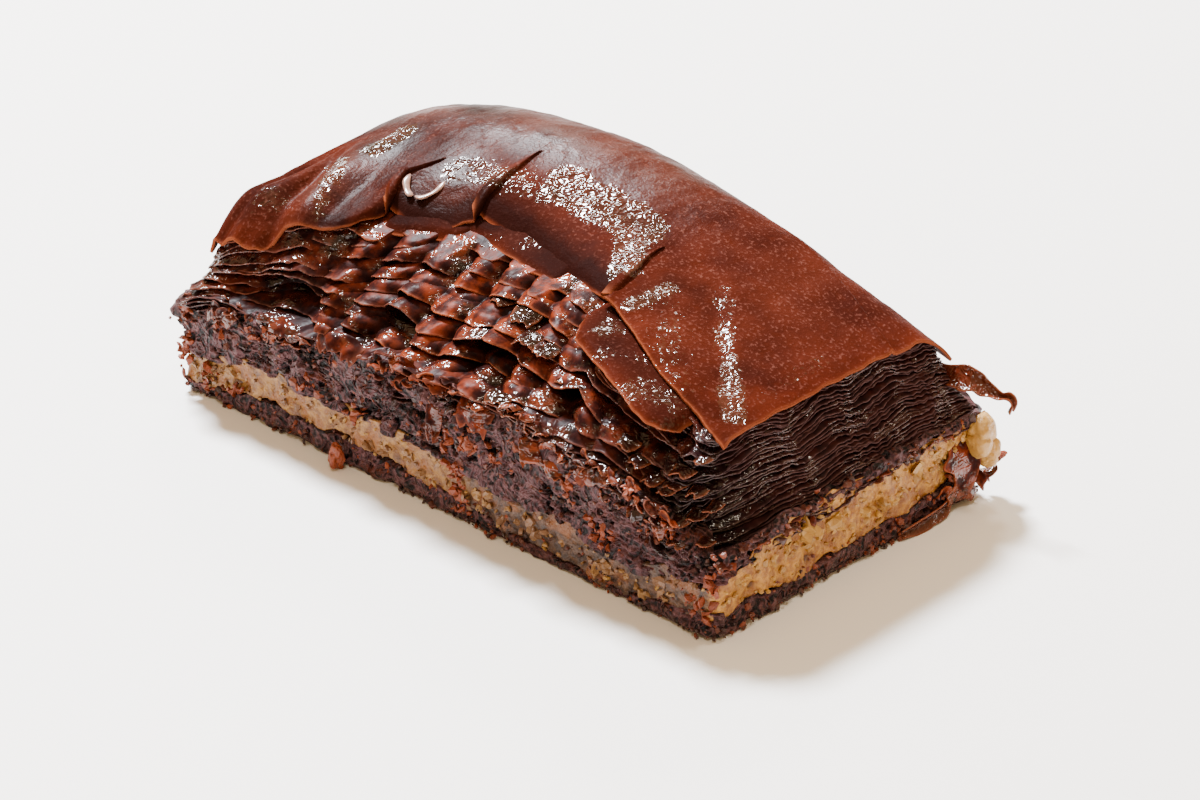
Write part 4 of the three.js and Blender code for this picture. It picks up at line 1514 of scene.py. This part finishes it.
def finer(points, faces):
    """Each triangle of a ball cut into four: new points amid its edges, pushed out to the ball."""
    edges = np.sort(np.concatenate([faces[:, [0, 1]], faces[:, [1, 2]], faces[:, [2, 0]]]), axis=1)
    unique, back = np.unique(edges, axis=0, return_inverse=True)
    middle = points[unique].mean(1)
    middle /= np.linalg.norm(middle, axis=1, keepdims=True)
    ab, bc, ca = back.reshape(3, -1) + len(points)
    a, b, c = faces.T
    cut = [(a, ab, ca), (ab, b, bc), (ca, bc, c), (ab, bc, ca)]
    return np.concatenate([points, middle]), np.concatenate([np.stack(f, axis=1) for f in cut])


def crumbs(random, places, sizes, ball=BALL, faces=BALL_FACES):
    """One mesh of many crumbs, at places and of sizes in mm."""
    count = len(places)
    shape = ball * random.uniform(0.45, 1.3, (count, len(ball), 1)) * random.uniform(0.4, 1.25, (count, 1, 3))
    turn = np.linalg.qr(random.normal(size=(count, 3, 3)))[0]
    turn *= np.linalg.det(turn)[:, None, None]
    points = np.einsum("nij,nkj->nki", turn, shape) * (sizes / 2)[:, None, None] + places[:, None]
    points[..., 2] = np.maximum(points[..., 2], LOWEST)
    return points.reshape(-1, 3), [(faces + len(ball) * np.arange(count)[:, None, None]).reshape(-1, 3)]


print("a crumb has", len(BALL), "corners and", len(BALL_FACES), "faces")


# %% Spots on the cut faces
def spots(random, *rows):
    """Random places round each row = (along, height, reach along, reach up, count)."""
    rows = np.array(rows, float)
    rows = np.repeat(rows, rows[:, 4].astype(int), axis=0)
    return rows[:, :2] + rows[:, 2:4] * random.normal(size=(len(rows), 2)) / 1.5


def on_front(spot, relief, inset):
    """Places on the front cut face: spot is (x, z)."""
    x, z = spot[:, 0], np.maximum(spot[:, 1], 0.25)
    return np.stack([x, -HALF_WIDTH + inset - relief(x, -HALF_WIDTH + inset + 0 * x, z), z], axis=1)


def on_right(spot, relief, inset):
    """Places on the right cut face: spot is (y, z)."""
    y, z = spot[:, 0], np.maximum(spot[:, 1], 0.25)
    return np.stack([HALF_LENGTH - inset + relief(HALF_LENGTH - inset + 0 * y, y, z), y, z], axis=1)


def over_crust(x, y, z):
    """How far the crust stands out at its middle height."""
    return crust_relief(x, y, z, 0.5)[0]


def over_paste(x, y, z):
    """How far the nut paste stands out."""
    return paste_relief(x, y, z)[0]


print("at x = 0 the crust stands out", over_crust(0, -HALF_WIDTH, 9).round(2), "mm")


# %% Where crumbs lie
# Clusters (along, height, reach along, reach up, count) on the front, and then those on the right end.
CLUSTERS = (
    (2.0, 8.0, 0.9, 1.2, 16), (3.4, 5.6, 0.9, 1.4, 22), (5.6, 9.2, 1.1, 0.9, 16), (4.0, 2.4, 0.8, 1.4, 18),
    (8.3, 8.8, 1.0, 0.7, 10), (22.1, 5.6, 1.6, 1.0, 22), (28.7, 9.0, 1.0, 1.0, 16),
    (25.5, 11.6, 1.4, 0.7, 14), (-29.1, 9.4, 1.2, 0.8, 16), (-23.2, 10.2, 1.5, 0.7, 16),
    (-16.2, 7.2, 2.0, 0.7, 12), (-10.6, 6.4, 1.6, 0.8, 12), (12.3, 11.2, 1.6, 1.0, 14),
    (33.4, 3.2, 1.4, 1.2, 22), (-32.0, 2.0, 0.9, 0.8, 10), (17.5, 9.0, 1.4, 1.2, 12),
    (-34.6, 9.2, 0.7, 1.4, 16), (-34.9, 4.4, 0.6, 1.6, 18), (-27.0, 3.0, 2.0, 1.0, 10),
    (35.0, 6.0, 0.6, 1.2, 12),
)
RIGHT_CLUSTERS = (
    (0, 8.4, 16, 0.7, 90), (1.8, 0.9, 1.6, 0.5, 14), (7.2, 1.4, 1.4, 0.9, 18), (-6.3, 3.6, 0.5, 0.4, 4),
    (14, 2.6, 3, 1.6, 40),
)
DARK_COUNT, LOW_COUNT, LOW_RIGHT_COUNT = 620, 420, 200
# How far from the middle crumbs lie along the front, and along the right end.
CRUMB_END, CRUMB_SIDE = 35.5, 18.6
print("crumbs in clusters:", sum(count for *_, count in CLUSTERS + RIGHT_CLUSTERS))


# %% Pastry crumbs
random = np.random.default_rng(5)
orange = on_front(spots(random, *CLUSTERS), over_crust, 0.1)
orange_sizes = random.uniform(0.45, 1.25, len(orange)) ** 1.2
dark_spots = np.stack([
    random.uniform(-CRUMB_END, CRUMB_END, DARK_COUNT), random.uniform(7.0, 13.2, DARK_COUNT),
], axis=1)
dark_spots = dark_spots[dark_spots[:, 1] < np.interp(dark_spots[:, 0], *CRUST_FRONT) + 0.2]
dark = on_front(dark_spots, over_crust, 0.2)
right_spots = spots(random, *RIGHT_CLUSTERS)
right_spots[:, 0] = np.clip(right_spots[:, 0], -CRUMB_SIDE, CRUMB_SIDE)
right = on_right(right_spots, over_crust, 0.15)
low_spots = np.stack([
    random.uniform(-CRUMB_END, CRUMB_END, LOW_COUNT), 0.2 + 2.8 * random.uniform(0, 1, LOW_COUNT) ** 1.4,
], axis=1)
# The spots of the front's foot serve the right end too, where 0.52 brings them to its width.
low = np.concatenate([
    on_front(low_spots, over_crust, 0.35),
    on_right(low_spots[:LOW_RIGHT_COUNT] * (0.52, 1.0), over_crust, 0.35),
])
tones = np.concatenate([
    random.uniform(0.65, 1.0, len(orange)), random.uniform(0, 1, len(dark)) ** 3,
    random.uniform(0, 1, len(right)) ** 1.2, random.uniform(0, 1, len(low)) ** 2,
])
sizes = np.concatenate([
    orange_sizes, random.uniform(0.3, 0.8, len(dark)), random.uniform(0.3, 0.9, len(right)),
    random.uniform(0.3, 0.75, len(low)),
])
piece(
    "pastry_crumbs", [crumbs(random, np.concatenate([orange, dark, right, low]), sizes)],
    CRUMB, "upper_pastry", {"tone": np.repeat(tones, len(BALL))}, smooth_faces=False,
)


# %% [markdown]
# ## Chopped nuts
# The knife cut through nuts of all sizes in the band. Small bits are crumbs like those of pastry. The
# larger ones could be scans of real nuts, but at two millimetres a ball of eighty faces, dented at
# random, reads as one. All lie between the borders of the band, and those on the front are darker.

# %% Bits and chunks of nut
def in_band(along, share, on_right_end):
    """Spots at those shares of the band's height, 0 at its lower and 1 at its upper border."""
    x, y = (35.5, along) if on_right_end else (along, -19)
    return np.stack([along, lerp(band_bottom(x, y), band_top(x, y), share)], axis=1)


# (along, height, reach along, reach up, count). The first is one large chunk.
RIGHT_CHUNKS = ((-6.7, 6.6, 0.1, 0.1, 1), (0, 5.6, 9, 1.2, 16), (14, 6.0, 3, 1.4, 8))
LARGE_CHUNK = 3.0

front_bits = in_band(random.uniform(-35, 35, 140), random.uniform(0, 1, 140), False)
right_bits = in_band(random.uniform(-18.3, 18.3, 160), random.uniform(0.05, 1, 160), True)
chunks = in_band(random.uniform(-34, 33, 44), random.uniform(0.15, 0.8, 44), False)
right_chunks = spots(random, *RIGHT_CHUNKS)
small_places = np.concatenate([on_front(front_bits, over_paste, 0.3), on_right(right_bits, over_paste, 0.3)])
large_places = np.concatenate([on_front(chunks, over_paste, 0.5), on_right(right_chunks, over_paste, 0.6)])
small_tones = np.concatenate([
    random.uniform(0, 0.85, len(front_bits)) ** 2, random.uniform(0.5, 1.0, len(right_bits)),
])
large_tones = np.concatenate([
    random.uniform(0, 0.3, len(chunks)), random.uniform(0.5, 1.0, len(right_chunks)),
])
large_sizes = np.concatenate([
    random.uniform(0.9, 1.9, len(chunks)), [LARGE_CHUNK], random.uniform(1.0, 2.0, len(right_chunks) - 1),
])
round_chunk, chunk_faces = finer(BALL, BALL_FACES)
dented_chunk = round_chunk * (1 + 0.25 * hills(*(round_chunk.T * 1.6), 1.0, 85))[:, None]
piece(
    "chopped_nuts",
    [crumbs(random, small_places, random.uniform(0.3, 0.9, len(small_places))),
     crumbs(random, large_places, large_sizes, dented_chunk, chunk_faces)],
    NUT, "nut_filling",
    {"tone": np.concatenate([np.repeat(small_tones, len(BALL)), np.repeat(large_tones, len(dented_chunk))])},
    smooth_faces=False,
)


# %% [markdown]
# ## Torn leaves
# At the border between crust and leaves the knife tore scraps of leaf loose. Each could be cut and
# bent by hand; here one scrap is a small sheet that leaves the cut face and curls: the further along
# it, the more it has turned. Many small ones are strewn at random. The large ones have their places.

# %% A scrap
# Millimetres over which the painted light on a scrap's rim fades, and below which no scrap or ribbon reaches.
SCRAP_RIM, SHEET_LOWEST = 0.1, 0.05


def scrap(random, place, out, width, length, curl, ragged=0.25, columns=13, rows=11):
    """A small sheet from place along out, with its width level, and the painted light on its rim. After the
    share v of its length it has turned by curl times v, so it runs on an arc; it narrows towards its ragged
    tip."""
    out = np.array(out, float) / np.linalg.norm(out)
    level = np.cross(out, (0, 0, 1))
    level /= np.linalg.norm(level)
    up = np.cross(level, out)
    u, v = np.linspace(-0.5, 0.5, columns)[:, None], np.linspace(0, 1, rows)[None]
    turned = curl * v
    away = length * np.sin(turned) / curl
    rise = length * (1 - np.cos(turned)) / curl
    seed = int(random.integers(1000))
    torn = 1 + ragged * 2 * hills(u * width, 0, 0, 0.7, seed)
    flat = u * width * (1 - 0.35 * v**2) + ragged * 0.4 * hills(v * length, 0, u * 3, 0.8, seed + 1)
    bulge = 0.12 * length * hills(u * width, v * length, 0, 1.0, seed + 2) - 0.5 * width * u * u
    points = (
        np.array(place, float) + level * flat[..., None] + out * (away * torn)[..., None]
        + up * (rise * torn + bulge)[..., None]
    )
    points[..., 2] = np.maximum(points[..., 2], SHEET_LOWEST)
    free = np.minimum(1 - v, 0.5 - np.abs(u)) * length
    return points, np.exp(-free / SCRAP_RIM)


def torn_leaves(name, scraps, thickness=0.14):
    """One object of many scraps = [(points, painted light on the rim, how warm), ...], all fairly wet and
    none with painted shade.
    """
    patches(name, [
        (points, {"rim": rim, "warm": warm + 0 * rim, "hollow": 0 * rim, "wet": 0.6 + 0 * rim})
        for points, rim, warm in scraps
    ], thickness, LEAF)


# %% Torn leaves of the front
random = np.random.default_rng(12)
# Place, way out, width, length, curl, how warm.
LARGE_SCRAPS = (
    ((6.0, -18.5, 13.4), (0.1, -0.9, -0.6), 4.6, 2.9, -1.1, 0.7),
    ((13.6, -18.6, 12.6), (0.6, -0.8, -0.5), 3.2, 2.8, -0.9, 1.0),
    ((16.4, -18.7, 11.4), (0.7, -0.7, -0.6), 2.6, 2.4, -0.8, 1.0),
    ((22.0, -18.7, 12.2), (0.3, -0.9, -0.5), 6.0, 1.7, -1.3, 0.6),
    ((1.0, -18.8, 12.6), (0.2, -0.5, -1.0), 1.8, 5.0, -0.5, 0.45),
    ((-12.0, -18.4, 14.0), (0.1, -1, -0.2), 6.0, 2.2, -1.2, 0.5),
    ((-20.5, -18.4, 12.8), (-0.1, -1, -0.3), 7.0, 1.9, -1.0, 0.35),
    ((-29.0, -18.5, 11.4), (-0.1, -1, -0.3), 5.0, 1.8, -1.2, 0.5),
)

scraps = []
for x in np.concatenate([random.uniform(-34, 33, 90), random.uniform(-2, 30, 40)]):
    high = np.interp(x, *CRUST_FRONT) + random.normal() * 0.9 - 0.3
    out = (random.normal() * 0.6, -1, random.normal() * 0.6 - 0.2)
    place = (x, -18.9 + random.uniform(0, 0.5), high)
    width, length = random.uniform(0.7, 2.4), random.uniform(0.6, 1.5)
    curl = random.choice((-1, 1)) * random.uniform(0.8, 2.0)
    scraps.append((*scrap(random, place, out, width, length, curl), random.uniform(0.1, 1.0)))
for *form, warm in LARGE_SCRAPS:
    scraps.append((*scrap(random, *form, 0.15, 37, 25), warm))
torn_leaves("torn_leaves_front", scraps)


# %% Torn leaves of the ends
END_SCRAPS = (
    ((35.6, 18.4, 4.4), (0.7, 0.7, -0.5), 2.6, 2.6, 0.9, 0.9),
    ((35.8, 17.6, 3.0), (1.0, 0.3, -0.3), 2.4, 2.0, -0.9, 0.7),
    ((35.9, 16.4, 2.2), (0.9, 0.2, -0.5), 2.2, 1.6, -1.2, 1.0),
    ((35.7, 18.8, 2.4), (0.6, 0.8, -0.2), 1.8, 1.5, 1.0, 0.8),
    ((35.8, 12.6, 2.4), (0.9, -0.2, 0.4), 1.7, 1.2, 1.4, 1.0),
)

scraps = []
for y in random.uniform(-18.5, 18.5, 45):
    left = random.uniform() < 0.6
    high = random.uniform(7.8, 15.5) if left else random.uniform(7.6, 9.4) - 1.4 * smooth((-8 - y) / 6)
    out = ((-1 if left else 1), random.normal() * 0.5, random.normal() * 0.5 - 0.3)
    stand = -35.3 + 0.22 * (high - 8) if left else 35.4
    width, length = random.uniform(0.8, 2.6), random.uniform(0.5, 1.3)
    curl = random.choice((-1, 1)) * random.uniform(0.8, 1.8)
    scraps.append((*scrap(random, (stand, y, high), out, width, length, curl), random.uniform(0.1, 0.8)))
for *form, warm in END_SCRAPS:
    scraps.append((*scrap(random, *form, 0.12, 25, 21), warm))
torn_leaves("torn_leaves_ends", scraps)


# %% [markdown]
# ## Wet scraps on the stack
# On the right, shreds of the glazed leaf lie on the steps of the stack, soaked with syrup. They give
# the white glints there. They could hang from the glazed leaf itself, but each would bend its grid.
# So they are scraps of their own that lie flat, made like the torn ones and finished like the glaze.

# %% Wet scraps
random = np.random.default_rng(31)
# The middle of each scrap, its width and its length.
WET_SCRAPS = (
    (8.1, -13.9, 18.6, 3.2, 2.2), (10.4, -14.2, 18.3, 2.6, 2.0), (8.9, -18.9, 14.7, 3.0, 1.8),
    (10.9, -19.0, 14.0, 2.4, 1.6), (1.2, -10.2, 19.0, 3.0, 2.0), (14.0, -15.4, 17.0, 2.2, 1.4),
    (22.6, -16.7, 14.4, 3.0, 1.6), (21.3, -18.5, 12.2, 3.2, 1.5), (23.2, -18.6, 11.6, 2.0, 1.3),
    (24.7, -17.0, 13.5, 2.4, 1.5), (26.6, -17.4, 12.5, 2.2, 1.4), (28.5, -17.8, 12.1, 1.8, 1.3),
    (29.4, -16.6, 14.0, 2.4, 1.6), (30.9, -15.5, 15.3, 1.6, 1.2), (31.0, -16.4, 12.5, 1.8, 1.5),
    (31.2, -16.6, 10.4, 1.8, 1.6), (30.2, -18.0, 9.9, 2.2, 1.4), (32.4, -15.6, 11.2, 1.4, 1.6),
    (31.0, -18.8, 8.6, 2.2, 1.3), (33.2, -17.6, 8.8, 1.6, 1.4), (5.8, -12.1, 19.4, 3.0, 2.2),
    (28.7, -16.6, 12.6, 2.4, 1.6),
)


def lying_scrap(random, x, y, z, width, length):
    """A scrap whose middle is at the place, and its marks. It slopes down to the front by a third and
    hardly curls."""
    slope = np.array((0.05, -0.93, -0.35)) + 0.07 * random.normal(size=3)
    start = np.array((x, y, z)) - slope * length / 2 + (0.0, -0.07, 0.2)
    points, rim = scrap(random, start, slope, width, length, 0.3, 0.2, 25, 17)
    # painted light on each scrap's rim and through its thin edge
    return points, {"rim": rim, "thin": 0.3 * rim, "wrinkled": 0.8 + 0 * rim, "shade": 0.85 + 0 * rim}


patches("wet_scraps", [lying_scrap(random, *row) for row in WET_SCRAPS], 0.12, GLAZE)


# %% [markdown]
# ## Corner flake, lower rim and flap
# At the far right corner a glazed flake stands off and bends down, a dark flap of leaf hangs under it,
# and a thin lip runs along the foot of the right end. Each is a ribbon along a soft curve through a
# few points. A sculpted sheet would do as well, but the points are easier to move.

# %% Ribbons
def smooth_path(points, count):
    """Points along a soft curve through a few given ones: each coordinate is a cubic between them whose
    slope at a point is that from the one before to the one after."""
    points = np.array(points, float)
    slopes = np.gradient(points, axis=0)
    t = np.linspace(0, len(points) - 1, count)
    i = np.minimum(t.astype(int), len(points) - 2)
    s = (t - i)[:, None]
    a, b, m, n = points[i], points[i + 1], slopes[i], slopes[i + 1]
    ends = a * (2 * s**3 - 3 * s**2 + 1) + b * (3 * s**2 - 2 * s**3)
    return ends + m * (s**3 - 2 * s**2 + s) + n * (s**3 - s**2)


def ribbon(path, widths, across, bulge, seed, count=60, columns=19):
    """A sheet along a path, and the painted light on its rim. Its width runs from the path towards across,
    and it bulges like a gutter."""
    line, across = smooth_path(path, count), np.array(across, float) / np.linalg.norm(across)
    width = smooth_path([(w, 0, 0) for w in widths], count)[:, :1]
    out = np.cross(np.gradient(line, axis=0), across)
    out /= np.linalg.norm(out, axis=1, keepdims=True)
    share = np.linspace(0, 1, columns)[None]
    width = width * (1 + 0.3 * hills(line[:, :1], line[:, 1:2], line[:, 2:], 1.1, seed))
    raised = bulge * np.sin(np.pi * share) + 0.12 * hills(line[:, :1], share * 3, 0, 0.8, seed + 1)
    points = line[:, None] + across * (width * share)[..., None] + out[:, None] * raised[..., None]
    points[..., 2] = np.maximum(points[..., 2], SHEET_LOWEST)
    return points, np.exp(-np.minimum(share, 1 - share) * width / SCRAP_RIM)


# %% Flake, rim and flap
corner_flake = ribbon(
    [(30.6, 17.3, 12.8), (32.2, 17.6, 12.8), (33.8, 17.9, 13.3), (35.2, 18.0, 13.2), (36.5, 18.1, 12.5),
     (37.7, 18.1, 11.8), (38.8, 18.1, 12.0), (39.5, 18.1, 11.8), (39.8, 18.1, 11.1), (39.5, 18.1, 10.3)],
    (1.5, 2.2, 2.4, 2.3, 1.7, 0.8, 0.7, 0.6, 0.5, 0.35), (-0.15, -0.75, -0.65), 0.35, 201,
)
lower_rim = ribbon(
    [(36.3, 6.4, 1.0), (36.5, 8.2, 1.3), (36.6, 10.2, 1.5), (36.5, 12.2, 1.6), (36.2, 13.8, 1.9)],
    (0.7, 1.2, 1.4, 1.3, 0.6), (0.15, 0.1, -1.0), 0.4, 203,
)
# painted light on the rims and coming through the thin flake
patches("corner_flake_and_rim", [
    (points, {"rim": rim, "thin": 0.9 + 0 * rim, "wrinkled": 0.7 + 0 * rim})
    for points, rim in (corner_flake, lower_rim)
], 0.16, GLAZE)
flap = ribbon(
    [(35.7, 17.6, 8.2), (36.3, 17.2, 6.6), (36.9, 17.0, 4.9), (37.0, 16.3, 3.0), (36.7, 15.4, 1.0)],
    (2.2, 3.4, 4.0, 3.6, 2.4), (-0.12, -1.0, 0.05), 0.3, 205, columns=31,
)
torn_leaves("dark_flap", [(*flap, 0.9)], 0.2)


# %% [markdown]
# ## Curl of syrup
# Two drops of syrup ran and dried as a curl on the glazed leaf, painted pale: a painted highlight. A curve
# with a round bevel would be quicker, but it would be as thick at its ends as in the middle. Here circles
# across the path swell, close at both ends and are flattened on the leaf.

# %% Two drops
def bead(path, radius, count=40, around=12):
    """A drop drawn out along a path: circles across it, flattened, that close at both ends."""
    line = smooth_path(path, count)
    t = np.linspace(0, 1, count)[:, None]
    size = radius * np.sqrt(np.maximum(4 * t * (1 - t), 0.02)) * (1 + 0.2 * np.sin(9 * t))
    along = np.gradient(line, axis=0)
    along /= np.linalg.norm(along, axis=1, keepdims=True)
    sideways = np.cross(along, (0, 0, 1))
    angle = 2 * np.pi * np.arange(around)[:, None] / around
    ring = sideways[:, None] * np.cos(angle) + np.array((0, 0, 0.45)) * np.sin(angle)
    return closed_rings(line[:, None] + ring * size[..., None])


def on_glaze(*places):
    """Points that lie on the glazed leaf between its first and second fold."""
    x, y = np.array(places, float).T
    return np.stack([x, y, dome(x, y) + glaze_relief(x, y, 1)], axis=1)


first_drop = on_glaze((-18.3, -3.3), (-17.9, -4.2), (-17.1, -4.9), (-16.5, -5.2), (-16.0, -5.2))
second_drop = on_glaze(
    (-15.8, -5.1), (-15.2, -5.0), (-14.8, -4.6), (-14.4, -3.8), (-14.3, -3.1), (-14.4, -2.4),
)
piece("syrup_curl", [bead(first_drop, 0.42), bead(second_drop, 0.38)], SYRUP_PAINTED_HIGHLIGHT, "upper_pastry")


# %% [markdown]
# ## Walnut and large crumb
# A broken walnut sits at the far right corner, and one crumb has fallen in front of the piece. A nut
# could be sculpted, but its two lobes show only from one side. So each is a fine ball, squashed, with
# bumps and a groove that winds along it.

# %% Two lobes and a crumb
fine_ball, fine_faces = BALL, BALL_FACES
for _ in range(4):
    fine_ball, fine_faces = finer(fine_ball, fine_faces)


def lump(centre, radii, turn, seed, bumps, groove=0.0):
    """A fine ball, squashed to its radii and turned about the upright, with soft bumps and, for a nut, a
    groove that winds round its length."""
    x, y, z = fine_ball.T
    winding = bell((z + 0.35 * np.sin(3 * y + 1) + 0.2 * hills(x, y, z, 0.5, seed)) / 0.16)
    out = 1 + bumps * rough(x, y, z, 0.8, 3, seed) - groove * winding
    x, y, z = (fine_ball * out[:, None] * radii).T
    cos, sin = math.cos(turn), math.sin(turn)
    shape = np.stack([cos * x - sin * y, sin * x + cos * y, z], axis=1) + centre
    shape[:, 2] = np.maximum(shape[:, 2], LOWEST)
    return shape, [fine_faces]


lobes = [
    lump((36.2, 17.6, 6.9), (1.5, 2.2, 2.2), 0.5, 95, 0.12, 0.18),
    lump((36.6, 18.4, 5.0), (1.2, 1.3, 1.5), 0.3, 96, 0.15, 0.15),
]
piece("corner_walnut", lobes, NUT, "nut_filling", {"tone": np.full(2 * len(fine_ball), 0.95)})
fallen = lump((-11.9, -20.0, 1.3), (0.85, 0.75, 1.5), 0.4, 97, 0.35)
piece("large_crumb", [fallen], CRUMB, "upper_pastry", {"tone": all_over(fine_ball, 0.95)})


# %% [markdown]
# ## Size of the whole
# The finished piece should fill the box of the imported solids. A ruler on the picture could tell, but
# the two boxes do it better. They are written down next to each other, and then the scene is done.

# %% Both boxes
visual_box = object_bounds()
sizes = {"cad": [list(c) for c in cad_box], "visual": [list(c) for c in visual_box]}
print("sizes", sizes)
